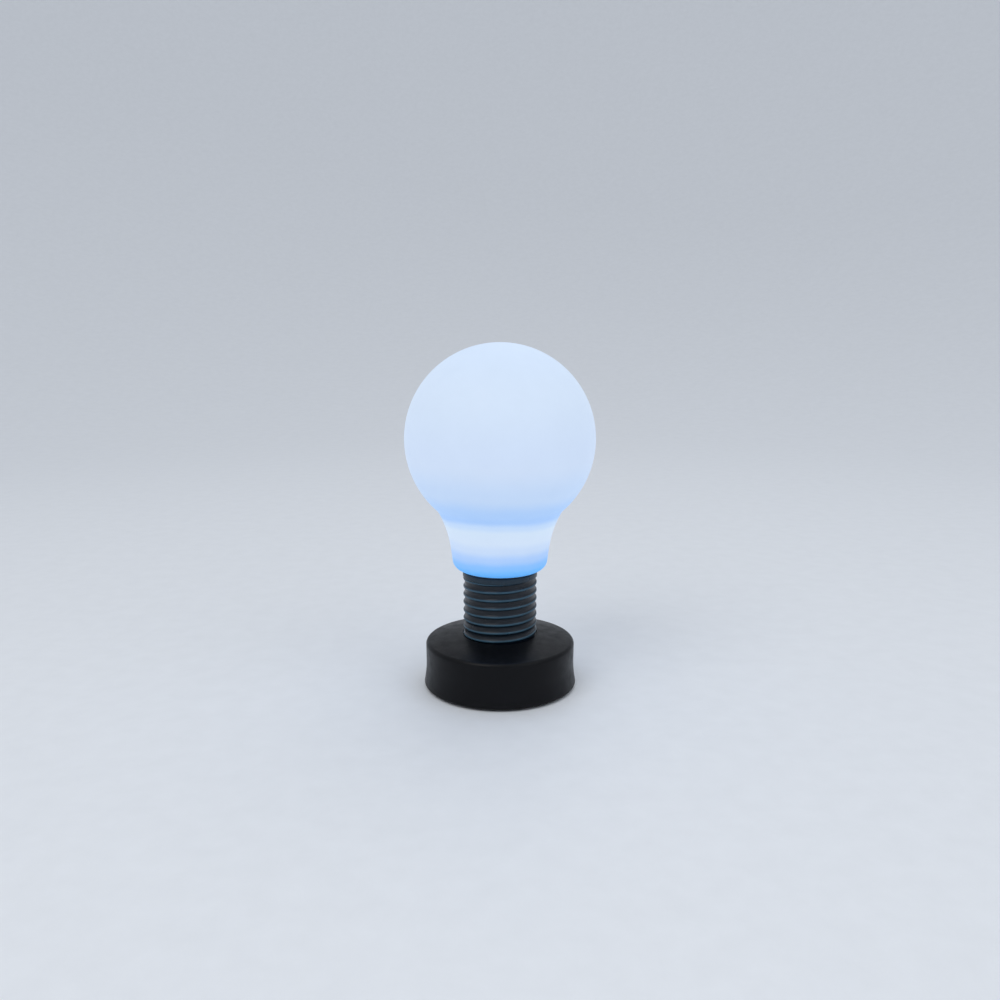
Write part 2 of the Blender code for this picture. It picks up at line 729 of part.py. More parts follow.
def make_plate(material):
    """The underside plate with the battery tray standing on it."""
    shape = bmesh.new()
    cylinder(shape, 0, 0, plate_radius, plate_bottom, plate_top, 48)
    plate = solid("base_plate", shape, material)

    tray = bmesh.new()
    outer_x = tray_half_x + tray_wall
    outer_y = tray_half_y + tray_wall
    box(tray, (-outer_x, -outer_y, plate_bottom + mm), (outer_x, outer_y, tray_ceiling + tray_wall))
    add(plate, "tray_block", tray)

    posts = bmesh.new()
    for side in (-1, 1):
        cylinder(posts, side * board_screw_x, board_screw_y, board_post_radius,
                 plate_bottom + mm, plate_top + board_standoff)
    add(plate, "board_posts", posts)

    hollows = bmesh.new()
    box(hollows, (-tray_half_x, -tray_half_y, plate_bottom - mm),
        (tray_half_x, tray_half_y, tray_ceiling))
    cut(plate, "tray_hollow", hollows)

    recess = bmesh.new()
    hinge_edge = -door_half_y - seat_gap
    outline = rounded_outline(door_half_x + seat_gap, -hinge_edge, door_corner)
    prism(recess, outline, plate_bottom - mm, door_top + seat_gap)
    cut(plate, "door_recess", recess)

    swing_room = bmesh.new()
    box(swing_room, (-door_half_x - seat_gap, hinge_edge - door_swing_room, plate_bottom - mm),
        (door_half_x + seat_gap, hinge_edge + door_corner, door_top + seat_gap))
    cut(plate, "door_swing_recess", swing_room)

    hinge_slot = bmesh.new()
    half = knuckle_end + swing_gap
    box(hinge_slot, (-half, hinge_y - knuckle_radius - swing_gap, plate_bottom - mm),
        (half, -tray_half_y - tray_wall - 0.2 * mm, plate_top + mm))
    cut(plate, "hinge_slot", hinge_slot)

    finger_scoop = bmesh.new()
    cylinder(finger_scoop, 0, door_half_y, scoop_radius, plate_bottom - mm,
             plate_bottom + scoop_depth, 24)
    cut(plate, "finger_scoop", finger_scoop)

    knuckle = bmesh.new()
    tube(knuckle, -knuckle_middle, knuckle_middle)
    add(plate, "plate_knuckle", knuckle)
    web = bmesh.new()
    box(web, (-knuckle_middle, hinge_y - knuckle_radius - 2 * mm, hinge_z - 0.6 * mm),
        (knuckle_middle, hinge_y - pin_radius - 2 * swing_gap, plate_top))
    add(plate, "plate_knuckle_web", web)

    holes = bmesh.new()
    counterbore = screw_head_height + 0.5 * mm
    for x, y in base_screw_places():
        cylinder(holes, x, y, screw_head_radius + screw_gap, plate_bottom - mm,
                 plate_bottom + counterbore)
    for x, y in foot_places():
        cylinder(holes, x, y, foot_radius + seat_gap, plate_bottom - mm,
                 foot_height + seat_gap, 20)
    cut(plate, "plate_pockets", holes)

    shanks = bmesh.new()
    for x, y in base_screw_places():
        cylinder(shanks, x, y, screw_radius + screw_gap, plate_bottom, plate_top + mm, screw_steps)
    for side in (-1, 1):
        cylinder(shanks, side * board_screw_x, board_screw_y, screw_radius + screw_gap,
                 plate_top + 0.2 * mm, plate_top + board_standoff + mm, screw_steps)
    cut(plate, "plate_screw_holes", shanks)

    slots = bmesh.new()
    for name, side, y in contact_tabs():
        ends = sorted((side * (tray_half_x - 0.2 * mm), side * (outer_x + mm)))
        low = tab_height() - contact_thickness / 2 - seat_gap
        high = tab_height() + contact_thickness / 2 + seat_gap
        box(slots, (ends[0], y - 1.3 * mm, low), (ends[1], y + 1.3 * mm, high))
    cut(plate, "tab_slots", slots)
    return plate


def tube(shape, first, last):
    """A hinge knuckle along X with its pin hole."""
    outer = circle_points(knuckle_radius, 16)
    inner = circle_points(pin_radius + swing_gap, 16)
    rings = []
    for points, x in ((outer, first), (outer, last), (inner, last), (inner, first)):
        rings.append([shape.verts.new((x, hinge_y + a, hinge_z + b)) for a, b in points])
    for near, far in zip(rings, rings[1:] + rings[:1]):
        for index in range(len(near)):
            after = (index + 1) % len(near)
            shape.faces.new((near[index], near[after], far[after], far[index]))


def circle_points(radius, steps):
    return [(radius * cos(2 * pi * k / steps), radius * sin(2 * pi * k / steps))
            for k in range(steps)]


def make_door(material):
    shape = bmesh.new()
    prism(shape, rounded_outline(door_half_x, door_half_y, door_corner), plate_bottom, door_top)
    door = solid("battery_door", shape, material)
    knuckles = bmesh.new()
    for first, last in ((knuckle_middle + swing_gap, knuckle_end),
                        (-knuckle_end, -knuckle_middle - swing_gap)):
        tube(knuckles, first, last)
    add(door, "door_knuckles", knuckles)
    webs = bmesh.new()
    for first, last in ((knuckle_middle + swing_gap, knuckle_end),
                        (-knuckle_end, -knuckle_middle - swing_gap)):
        box(webs, (first, hinge_y + pin_radius + 2 * swing_gap, plate_bottom),
            (last, -door_half_y + 2 * mm, door_top))
    add(door, "door_webs", webs)
    grips = bmesh.new()
    for index in range(4):
        y = door_half_y - 4 * mm - index * 2 * mm
        box(grips, (-7 * mm, y - 0.5 * mm, plate_bottom - mm),
            (7 * mm, y + 0.5 * mm, plate_bottom + 0.5 * mm))
    cut(door, "door_grips", grips)
    set_origin(door, (0, hinge_y, hinge_z))
    return door


def make_pin(material):
    shape = bmesh.new()
    half = knuckle_end - 0.2 * mm
    cylinder(shape, 0, 0, pin_radius, -half, half, screw_steps)
    bmesh.ops.rotate(shape, cent=(0, 0, 0), matrix=Matrix.Rotation(pi / 2, 3, 'Y'),
                     verts=shape.verts)
    bmesh.ops.translate(shape, vec=(0, hinge_y, hinge_z), verts=shape.verts)
    return solid("door_pin", shape, material)


def make_foot(index, x, y, material):
    edge = 0.5 * mm
    foot = turned(f"rubber_foot_{index + 1}",
                  [(0, 0), (foot_radius - edge, 0), (foot_radius, edge),
                   (foot_radius, foot_height), (0, foot_height)],
                  material, steps=20, closed=False)
    foot.data.transform(Matrix.Translation((x, y, 0)))
    return foot


# ------------------------------------------------------------------ batteries
def cell_y(index):
    return (index - (cell_count - 1) / 2) * cell_pitch


def cell_sense(index):
    """+1 where the cell's button end points to +X, which alternates."""
    return 1 if index % 2 == 0 else -1


def contact_face():
    """Distance from the middle to the contacts' inner faces."""
    return tray_half_x - seat_gap - contact_thickness


def tab_height():
    return cell_height + 0.5 * cell_radius


def contact_tabs():
    """Name, end (+1 or -1) and y of each soldering tab."""
    last = cell_count - 1
    return [("contact_positive", cell_sense(last), cell_y(last)),
            ("contact_negative", -cell_sense(0), cell_y(0))]


def make_cell(index, material):
    edge = 0.5 * mm
    body = cell_length - cell_nub_height
    profile = [(0, 0), (cell_radius - edge, 0), (cell_radius, edge), (cell_radius, body - edge),
               (cell_radius - edge, body), (cell_nub_radius, body),
               (cell_nub_radius, cell_length), (0, cell_length)]
    cell = turned(f"battery_cell_{index + 1}", profile, material, steps=20, closed=False)
    tip = contact_face() - seat_gap
    sense = cell_sense(index)
    cell.data.transform(Matrix.Translation((sense * (tip - cell_length), cell_y(index), cell_height))
                        @ Matrix.Rotation(sense * pi / 2, 4, 'Y'))
    return cell


def make_contact(name, end, first_y, last_y, tab_y, material):
    """A flat contact against one end of the tray, with a tab where a lead is soldered."""
    inner = contact_face()
    ends = sorted((end * inner, end * (inner + contact_thickness)))
    half = contact_width / 2
    shape = bmesh.new()
    box(shape, (ends[0], first_y - half, cell_height - half),
        (ends[1], last_y + half, cell_height + half))
    contact = solid(name, shape, material, smooth=False)
    if tab_y is not None:
        tab = bmesh.new()
        reach = sorted((end * (inner + contact_thickness / 2), end * (tray_half_x + tray_wall + mm)))
        box(tab, (reach[0], tab_y - mm, tab_height() - contact_thickness / 2),
            (reach[1], tab_y + mm, tab_height() + contact_thickness / 2))
        add(contact, name + "_tab", tab)
    return contact


def make_spring(number, index, material):
    """The tapered coil that presses on one cell's flat end."""
    end = -cell_sense(index)
    wire_radius = 0.4 * mm
    turns = 3
    per_turn = 8
    first = contact_face() - 0.1 * mm - wire_radius
    last = tray_half_x - 2 * seat_gap - contact_thickness - spring_length + wire_radius
    points = []
    for step in range(turns * per_turn + 1):
        share = step / (turns * per_turn)
        radius = (4.3 - 1.9 * share) * mm
        angle = 2 * pi * step / per_turn
        points.append((end * (first + (last - first) * share),
                       cell_y(index) + radius * cos(angle), cell_height + radius * sin(angle)))
    return wire(f"contact_spring_{number}", points, wire_radius, material, resolution=1)


def make_battery_pack(finishes):
    for index in range(cell_count):
        make_cell(index, finishes["cell"])
        make_spring(index + 1, index, finishes["spring"])
    last = cell_count - 1
    for name, end, y in contact_tabs():
        make_contact(name, end, y, y, y, finishes["contact"])
    for index in range(last):
        make_contact(f"contact_bridge_{index + 1}", cell_sense(index), cell_y(index),
                     cell_y(index + 1), None, finishes["contact"])


# --------------------------------------------------------- control electronics
def make_control_board(material):
    corner_angle = acos(board_half_width / board_radius)
    outline = [(-board_half_width, board_front_y), (board_half_width, board_front_y)]
    outline += arc((0, 0), board_radius, corner_angle, pi - corner_angle, 16)
    shape = bmesh.new()
    prism(shape, outline, board_bottom, board_top)
    board = solid("control_board", shape, material, smooth=False)
    holes = bmesh.new()
    for side in (-1, 1):
        cylinder(holes, side * board_screw_x, board_screw_y, screw_radius + screw_gap,
                 board_bottom - mm, board_top + mm, screw_steps)
    cut(board, "control_board_holes", holes)
    return board


def make_usb_socket(material):
    """The charging socket: a rounded sleeve, closed behind, with its tongue."""
    face = base_radius - usb_setback
    wall = 0.3 * mm
    turn_to_x = Matrix(((0, 0, 1, 0), (1, 0, 0, 0), (0, 1, 0, 0), (0, 0, 0, 1)))
    shape = bmesh.new()
    prism(shape, rounded_outline(usb_width / 2, usb_height / 2, 0.48 * usb_height), 0, usb_depth)
    bmesh.ops.transform(shape, matrix=turn_to_x, verts=shape.verts)
    move_to_wall(shape, usb_angle, part_floor + usb_height / 2, face - usb_depth)
    socket = solid("usb_socket", shape, material)
    hollow = bmesh.new()
    prism(hollow, rounded_outline(usb_width / 2 - wall, usb_height / 2 - wall, 0.38 * usb_height),
          1.0 * mm, usb_depth + mm)
    bmesh.ops.transform(hollow, matrix=turn_to_x, verts=hollow.verts)
    move_to_wall(hollow, usb_angle, part_floor + usb_height / 2, face - usb_depth)
    cut(socket, "usb_hollow", hollow)
    tongue = bmesh.new()
    box(tongue, (0.5 * mm, -0.37 * usb_width, -0.35 * mm),
        (usb_depth - 1.0 * mm, 0.37 * usb_width, 0.35 * mm))
    move_to_wall(tongue, usb_angle, part_floor + usb_height / 2, face - usb_depth)
    add(socket, "usb_tongue", tongue)
    return socket


def make_button(material):
    """The button's cap and the flange that keeps it in; pressed towards the axis."""
    outer = base_radius + button_proud
    flange_face = sqrt(base_inner_radius ** 2 - button_flange_radius ** 2) - seat_gap
    flange_back = flange_face - button_flange_thickness
    edge = 0.6 * mm
    profile = [(0, flange_back), (button_flange_radius, flange_back),
               (button_flange_radius, flange_face), (button_radius, flange_face),
               (button_radius, outer - edge), (button_radius - edge, outer), (0, outer)]
    button = turned("power_button", profile, material, steps=20, closed=False)
    button.data.transform(Matrix.Rotation(button_angle, 4, 'Z')
                          @ Matrix.Translation((0, 0, button_height))
                          @ Matrix.Rotation(pi / 2, 4, 'Y'))
    x, y = around(outer, button_angle)
    set_origin(button, (x, y, button_height))
    return button


def make_switch(material):
    """The tactile switch behind the button, with its plunger a little way off it."""
    flange_face = sqrt(base_inner_radius ** 2 - button_flange_radius ** 2) - seat_gap
    plunger_tip = flange_face - button_flange_thickness - button_travel - 0.2 * mm
    body_face = plunger_tip - 1.4 * mm
    half = 3.0 * mm
    shape = bmesh.new()
    box(shape, (body_face - switch_depth, -half, -switch_height / 2),
        (body_face, half, switch_height / 2), bevel=0.2 * mm)
    move_to_wall(shape, button_angle, button_height)
    switch = solid("tact_switch", shape, material, smooth=False)
    plunger = bmesh.new()
    cylinder(plunger, 0, 0, 1.2 * mm, body_face - mm, plunger_tip, screw_steps)
    bmesh.ops.rotate(plunger, cent=(0, 0, 0), matrix=Matrix.Rotation(pi / 2, 3, 'Y'),
                     verts=plunger.verts)
    move_to_wall(plunger, button_angle, button_height)
    add(switch, "switch_plunger", plunger)
    return switch


def make_capacitor(x, y, material):
    radius = 3.15 * mm
    height = 7.6 * mm
    edge = 0.4 * mm
    profile = [(0, 0), (radius, 0), (radius, 1.0 * mm), (radius - 0.3 * mm, 1.3 * mm),
               (radius, 1.6 * mm), (radius, height - edge), (radius - edge, height), (0, height)]
    capacitor = turned("storage_capacitor", profile, material, steps=20, closed=False)
    capacitor.data.transform(Matrix.Translation((x, y, part_floor)))
    return capacitor


def make_block(name, centre, size, low, bevel, material):
    shape = bmesh.new()
    box(shape, (centre[0] - size[0] / 2, centre[1] - size[1] / 2, low),
        (centre[0] + size[0] / 2, centre[1] + size[1] / 2, low + size[2]), bevel=bevel)
    return solid(name, shape, material, smooth=False)


def make_leads(header_y, plug_top, finishes):
    """The light engine's cable up the neck, and the two leads from the cells."""
    over_tray = (tray_ceiling + tray_wall + roof_bottom) / 2
    plug_upper_low = mount_bottom + 1.4 * mm
    cable = smooth_route([(0, header_y, plug_top + seat_gap), (0, header_y - 0.3 * mm, plug_top + 2 * mm),
                          (0, header_y - 3.5 * mm, over_tray - 0.8 * mm),
                          (0, header_y - 8 * mm, over_tray), (0, 18 * mm, over_tray),
                          (0, 9 * mm, over_tray + 1.2 * mm), (0, 3 * mm, crown_height + 3 * mm),
                          (0, 0, crown_height + 11 * mm), (0, 0, (crown_height + neck_top) / 2),
                          (0, 0, neck_top - 10 * mm), (0, 0, plug_upper_low - seat_gap)], 2.4 * mm)
    wire("led_cable", cable, cable_radius, finishes["cable"], resolution=1)

    side = tray_half_x + tray_wall + 1.5 * mm
    tab_z = tab_height() + contact_thickness / 2 + seat_gap + lead_radius
    land = board_top + seat_gap + lead_radius
    over_screw = board_top + 3 * seat_gap + screw_head_height + lead_radius
    for name, colour, end, y in (("battery_lead_plus", "red_wire", *contact_tabs()[0][1:]),
                                 ("battery_lead_minus", "black_wire", *contact_tabs()[1][1:])):
        stations = [(end * side, y - 0.8 * mm, tab_z), (end * side, y + 2 * mm, tab_z + 0.2 * mm),
                    (end * side, tray_half_y - 4 * mm, tab_z - 1.5 * mm),
                    (end * side, tray_half_y + tray_wall, tab_z - 3.5 * mm),
                    (end * (board_screw_x + 4 * mm), board_screw_y - 0.6 * mm, over_screw + 0.4 * mm),
                    (end * board_screw_x, board_screw_y, over_screw),
                    (end * (board_screw_x - screw_head_radius - mm), board_screw_y, over_screw - 0.4 * mm),
                    (end * (board_screw_x - screw_head_radius - 3.6 * mm), board_screw_y, land)]
        if end * y > 0:
            stations[1] = (end * side, y + 1 * mm, tab_z + 0.1 * mm)
            stations[2] = (end * side, y + 3 * mm, tab_z - 0.6 * mm)
        wire(name, smooth_route(stations, 2.5 * mm), lead_radius, finishes[colour], resolution=1)


# ------------------------------------------------------------------- assembly
def main():
    for thing in list(bpy.data.objects):
        bpy.data.objects.remove(thing, do_unlink=True)

    black_abs = finish("black_abs", (0.012, 0.012, 0.014), 0.42)
    dark_abs = finish("graphite_abs", (0.03, 0.032, 0.036), 0.45)
    white_polymer = finish("white_polymer", (0.86, 0.86, 0.84), 0.4)
    rubber = finish("grey_rubber", (0.06, 0.06, 0.06), 0.85)
    steel = finish("zinc_steel", (0.62, 0.63, 0.65), 0.3, 1.0)
    dark_steel = finish("black_screw_steel", (0.05, 0.05, 0.055), 0.35, 1.0)
    green_board = finish("green_solder_mask", (0.02, 0.16, 0.07), 0.4)
    chip_black = finish("chip_epoxy", (0.02, 0.02, 0.022), 0.5)
    plug_white = finish("connector_nylon", (0.82, 0.8, 0.74), 0.45)
    finishes = {
        "cell": finish("cell_wrap", (0.05, 0.24, 0.3), 0.35),
        "spring": finish("nickel_wire", (0.7, 0.69, 0.65), 0.25, 1.0),
        "contact": finish("nickel_sheet", (0.68, 0.67, 0.63), 0.3, 1.0),
        "cable": finish("white_cable", (0.75, 0.75, 0.73), 0.5),
        "red_wire": finish("red_lead", (0.5, 0.02, 0.02), 0.45),
        "black_wire": finish("black_lead", (0.02, 0.02, 0.02), 0.45),
    }

    make_shade(finish("opal_shade", (0.80, 0.88, 1.0), 0.35, glow=2.0))
    make_seal(finish("silicone_seal", (0.05, 0.05, 0.055), 0.7))
    make_neck(dark_abs)
    make_mount(finish("mount_polymer", (0.8, 0.8, 0.78), 0.45))
    make_spreader(finish("spreader_aluminium", (0.78, 0.79, 0.8), 0.35, 1.0))
    make_led_board(finish("white_solder_mask", (0.85, 0.85, 0.82), 0.4))
    for index in range(led_count):
        make_led(index, white_polymer)
    for number, angle in enumerate(column_angles, 1):
        x, y = around(column_circle, angle)
        screw(f"neck_screw_{number}", x, y, roof_bottom - seat_gap, screw_length, steel)
        screw(f"mount_screw_{number}", x, y, mount_floor_top + seat_gap, screw_length, steel,
              up=False)
    for number, side in enumerate((-1, 1), 1):
        screw(f"led_screw_{number}", side * led_screw_circle, 0, led_board_top + seat_gap,
              led_screw_length, steel, up=False)
        screw(f"board_screw_{number}", side * board_screw_x, board_screw_y,
              board_top + seat_gap, short_screw_length, steel, up=False)

    make_housing(black_abs)
    make_plate(finish("underside_abs", (0.02, 0.02, 0.022), 0.55))
    for number, (x, y) in enumerate(base_screw_places(), 1):
        screw(f"base_screw_{number}", x, y, plate_bottom + screw_head_height + 0.2 * mm,
              screw_length, dark_steel)
    for index, (x, y) in enumerate(foot_places()):
        make_foot(index, x, y, rubber)
    make_door(finish("door_abs", (0.024, 0.024, 0.026), 0.55))
    make_pin(finish("pin_steel", (0.6, 0.6, 0.62), 0.25, 1.0))
    make_battery_pack(finishes)

    make_control_board(green_board)
    make_usb_socket(finish("socket_steel", (0.66, 0.66, 0.68), 0.28, 1.0))
    make_button(finish("button_abs", (0.035, 0.036, 0.04), 0.35))
    make_switch(finish("switch_body", (0.04, 0.04, 0.045), 0.5))
    header_y = board_radius - 3.3 * mm
    header_size = (7.0 * mm, 4.2 * mm)
    header_height = 2.6 * mm
    plug_low = part_floor + header_height + seat_gap
    plug_height = 2.7 * mm
    make_connector("board_header", (0, header_y), header_size, part_floor, header_height, plug_white)
    make_connector("cable_plug_lower", (0, header_y), (6.4 * mm, 3.8 * mm), plug_low, plug_height,
                   plug_white)
    upper_plug_low = mount_bottom + 1.4 * mm
    upper_plug_height = 3.4 * mm
    upper_header_low = upper_plug_low + upper_plug_height + seat_gap
    make_connector("cable_plug_upper", (0, 0), (8.0 * mm, 4.6 * mm), upper_plug_low,
                   upper_plug_height, plug_white)
    make_connector("led_header", (0, 0), (9.0 * mm, 5.6 * mm), upper_header_low,
                   led_board_bottom - seat_gap - upper_header_low, plug_white)
    parts_y = board_front_y + 3.0 * mm
    make_capacitor(0, parts_y + 0.5 * mm, finish("capacitor_sleeve", (0.03, 0.04, 0.09), 0.3))
    make_block("controller_chip", (-12 * mm, parts_y), (5 * mm, 5 * mm, 1.0 * mm), part_floor,
               0.15 * mm, chip_black)
    make_block("power_inductor", (12 * mm, parts_y), (5 * mm, 5 * mm, 3.0 * mm), part_floor,
               0.6 * mm, finish("ferrite", (0.07, 0.07, 0.075), 0.6))
    make_block("wireless_module", (0, parts_y + 1.5 * mm), (18 * mm, 8.4 * mm, 2.2 * mm),
               board_bottom - seat_gap - 2.2 * mm, 0.3 * mm,
               finish("shield_can", (0.7, 0.7, 0.71), 0.32, 1.0))
    make_leads(header_y, plug_low + plug_height, finishes)


main()
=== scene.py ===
from math import acos, atan2, cos, degrees, pi, radians, sin, sqrt

import bmesh
import bpy
from mathutils import Matrix, Vector


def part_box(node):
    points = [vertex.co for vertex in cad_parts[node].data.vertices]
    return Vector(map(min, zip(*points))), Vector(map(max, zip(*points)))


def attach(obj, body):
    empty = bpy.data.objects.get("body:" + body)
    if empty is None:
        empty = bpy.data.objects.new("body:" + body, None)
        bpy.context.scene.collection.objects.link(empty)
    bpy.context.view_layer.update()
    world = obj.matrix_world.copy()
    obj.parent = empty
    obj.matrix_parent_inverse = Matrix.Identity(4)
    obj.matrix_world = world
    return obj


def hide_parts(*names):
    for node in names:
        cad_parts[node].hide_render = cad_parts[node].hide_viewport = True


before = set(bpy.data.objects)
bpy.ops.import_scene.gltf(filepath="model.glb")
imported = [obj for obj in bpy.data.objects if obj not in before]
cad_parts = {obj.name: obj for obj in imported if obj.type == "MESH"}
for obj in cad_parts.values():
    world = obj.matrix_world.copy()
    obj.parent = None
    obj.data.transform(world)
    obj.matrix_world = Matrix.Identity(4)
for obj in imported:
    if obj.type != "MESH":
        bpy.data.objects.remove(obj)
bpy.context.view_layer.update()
mm = 0.001
scene = bpy.context.scene


# where a node is: its middle, its size, its lowest and highest corner
def placeOf(node):
    low, high = (Vector(corner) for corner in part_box(node))
    return (low + high) / 2, high - low, low, high


# materials

def link(tree, fromNode, fromSocket, toNode, toSocket):
    tree.links.new(fromNode.outputs[fromSocket], toNode.inputs[toSocket])


def noiseNode(tree, scale, detail=3.0, stretch=(1, 1, 1), roughness=0.55):
    coords = tree.nodes.new("ShaderNodeTexCoord")
    mapping = tree.nodes.new("ShaderNodeMapping")
    mapping.inputs["Scale"].default_value = stretch
    noise = tree.nodes.new("ShaderNodeTexNoise")
    noise.inputs["Scale"].default_value = scale
    noise.inputs["Detail"].default_value = detail
    noise.inputs["Roughness"].default_value = roughness
    link(tree, coords, "Object", mapping, "Vector")
    link(tree, mapping, "Vector", noise, "Vector")
    return noise


def spread(tree, source, socket, fromLow, fromHigh, toLow, toHigh):
    node = tree.nodes.new("ShaderNodeMapRange")
    for name, value in (("From Min", fromLow), ("From Max", fromHigh),
                        ("To Min", toLow), ("To Max", toHigh)):
        node.inputs[name].default_value = value
    link(tree, source, socket, node, "Value")
    return node


def blendColours(tree, factor, socket, first, second):
    mix = tree.nodes.new("ShaderNodeMix")
    mix.data_type = "RGBA"
    for index, colour in ((6, first), (7, second)):
        if isinstance(colour, tuple):
            mix.inputs[index].default_value = (*colour, 1.0)
        else:
            tree.links.new(colour, mix.inputs[index])
    tree.links.new(factor.outputs[socket], mix.inputs[0])
    return mix.outputs[2]


def maths(tree, operation, first, firstSocket, second, secondSocket):
    node = tree.nodes.new("ShaderNodeMath")
    node.operation = operation
    link(tree, first, firstSocket, node, 0)
    link(tree, second, secondSocket, node, 1)
    return node


# the three parts of a place on the piece, or of the direction a face looks in
def splitAxes(tree, source, socket):
    split = tree.nodes.new("ShaderNodeSeparateXYZ")
    link(tree, source, socket, split, "Vector")
    return split


def addBump(tree, shader, height, socket, distance, strength=1.0):
    bump = tree.nodes.new("ShaderNodeBump")
    bump.inputs["Strength"].default_value = strength
    bump.inputs["Distance"].default_value = distance
    link(tree, height, socket, bump, "Height")
    before = shader.inputs["Normal"].links
    if before:
        tree.links.new(before[0].from_socket, bump.inputs["Normal"])
    link(tree, bump, "Normal", shader, "Normal")


# a moulded, plated or painted surface: colour drift, grain, uneven gloss, rubbed edges
def surface(name, colour, rough, grain=1800.0, depth=0.00002, metal=0.0, mottle=0.12,
            roughDrift=0.08, stretch=(1, 1, 1), coat=0.0, coatRough=0.2, rub=None, dust=None,
            sheen=0.0, level=0.5):
    material = bpy.data.materials.new(name)
    material.use_nodes = True
    material.diffuse_color = (*colour, 1.0)
    tree = material.node_tree
    shader = tree.nodes["Principled BSDF"]
    shader.inputs["Metallic"].default_value = metal
    shader.inputs["Specular IOR Level"].default_value = level
    shader.inputs["Coat Weight"].default_value = coat
    shader.inputs["Coat Roughness"].default_value = coatRough
    shader.inputs["Sheen Weight"].default_value = sheen

    drift = noiseNode(tree, 70.0, 4.0)
    spreadDrift = spread(tree, drift, "Fac", 0.3, 0.7, 0.0, 1.0)
    darker = tuple(part * (1 - mottle) for part in colour)
    lighter = tuple(min(1.0, part * (1 + mottle)) for part in colour)
    tint = blendColours(tree, spreadDrift, "Result", darker, lighter)
    if rub:                                    # worn edges show paler
        geometry = tree.nodes.new("ShaderNodeNewGeometry")
        edges = spread(tree, geometry, "Pointiness", 0.52, 0.60, 0.0, 0.55)
        tint = blendColours(tree, edges, "Result", tint, rub)
    if dust:                                   # a thin film on faces that look up
        geometry = tree.nodes.new("ShaderNodeNewGeometry")
        film = noiseNode(tree, 400.0, 6.0)
        facing = spread(tree, splitAxes(tree, geometry, "Normal"), "Z", 0.5, 1.0, 0.0, 1.0)
        thin = spread(tree, film, "Fac", 0.45, 0.75, 0.0, dust)
        share = maths(tree, "MULTIPLY", facing, "Result", thin, "Result")
        tint = blendColours(tree, share, "Value", tint, (0.35, 0.36, 0.38))
    tree.links.new(tint, shader.inputs["Base Color"])

    gloss = noiseNode(tree, 160.0, 5.0, stretch)
    uneven = spread(tree, gloss, "Fac", 0.3, 0.7, max(0.04, rough - roughDrift),
                    min(1.0, rough + roughDrift))
    link(tree, uneven, "Result", shader, "Roughness")
    if depth:
        texture = noiseNode(tree, grain, 2.0, stretch)
        addBump(tree, shader, texture, "Fac", depth)
    return material


# the glow of the lit shade by height, as a share of the shade's height
glowColours = {
    "stops": [(0.000, (0.000, 0.340, 0.960)), (0.022, (0.020, 0.390, 1.000)),
              (0.050, (0.100, 0.420, 0.960)), (0.085, (0.300, 0.520, 0.930)),
              (0.125, (0.500, 0.650, 0.900)), (0.165, (0.590, 0.720, 0.900)),
              (0.205, (0.590, 0.730, 0.900)), (0.232, (0.480, 0.660, 0.930)),
              (0.262, (0.300, 0.530, 0.950)), (0.300, (0.330, 0.550, 0.930)),
              (0.380, (0.460, 0.620, 0.880)), (0.520, (0.540, 0.660, 0.860)),
              (0.780, (0.560, 0.680, 0.850)), (1.000, (0.540, 0.670, 0.860))],
    "strength": 0.80,
}


def opalMaterial():
    low, high = placeOf("shade")[2:]
    material = surface("opalShade", (0.24, 0.26, 0.29), 0.55, grain=2600.0, depth=0.000006,
                       mottle=0.03, roughDrift=0.05, level=0.22)
    tree = material.node_tree
    shader = tree.nodes["Principled BSDF"]
    coords = tree.nodes.new("ShaderNodeTexCoord")
    share = spread(tree, splitAxes(tree, coords, "Object"), "Z", low.z, high.z, 0.0, 1.0)
    cloud = noiseNode(tree, 26.0, 2.0)
    shift = spread(tree, cloud, "Fac", 0.3, 0.7, -0.008, 0.008)
    total = maths(tree, "ADD", share, "Result", shift, "Result")
    ramp = tree.nodes.new("ShaderNodeValToRGB")
    ramp.color_ramp.interpolation = "EASE"
    stops = glowColours["stops"]
    for index, (place, colour) in enumerate(stops):
        if index < 2:
            element = ramp.color_ramp.elements[index]
            element.position = place
        else:
            element = ramp.color_ramp.elements.new(place)
        element.color = (*colour, 1.0)
    link(tree, total, "Value", ramp, "Fac")
    link(tree, ramp, "Color", shader, "Emission Color")
    shader.inputs["Emission Strength"].default_value = glowColours["strength"]
    return material


opalShade = opalMaterial()
# the neck's own dark colour, and the paler colour of the painted highlight along the ridge tops
neckTintAndHighlight = {"groove": (0.0015, 0.0050, 0.0105), "ridge": (0.030, 0.085, 0.130),
              "grooveRadius": 21.35 * mm, "ridgeRadius": 21.75 * mm,
              "collarFoot": 66.9 * mm, "collarShare": 0.3}
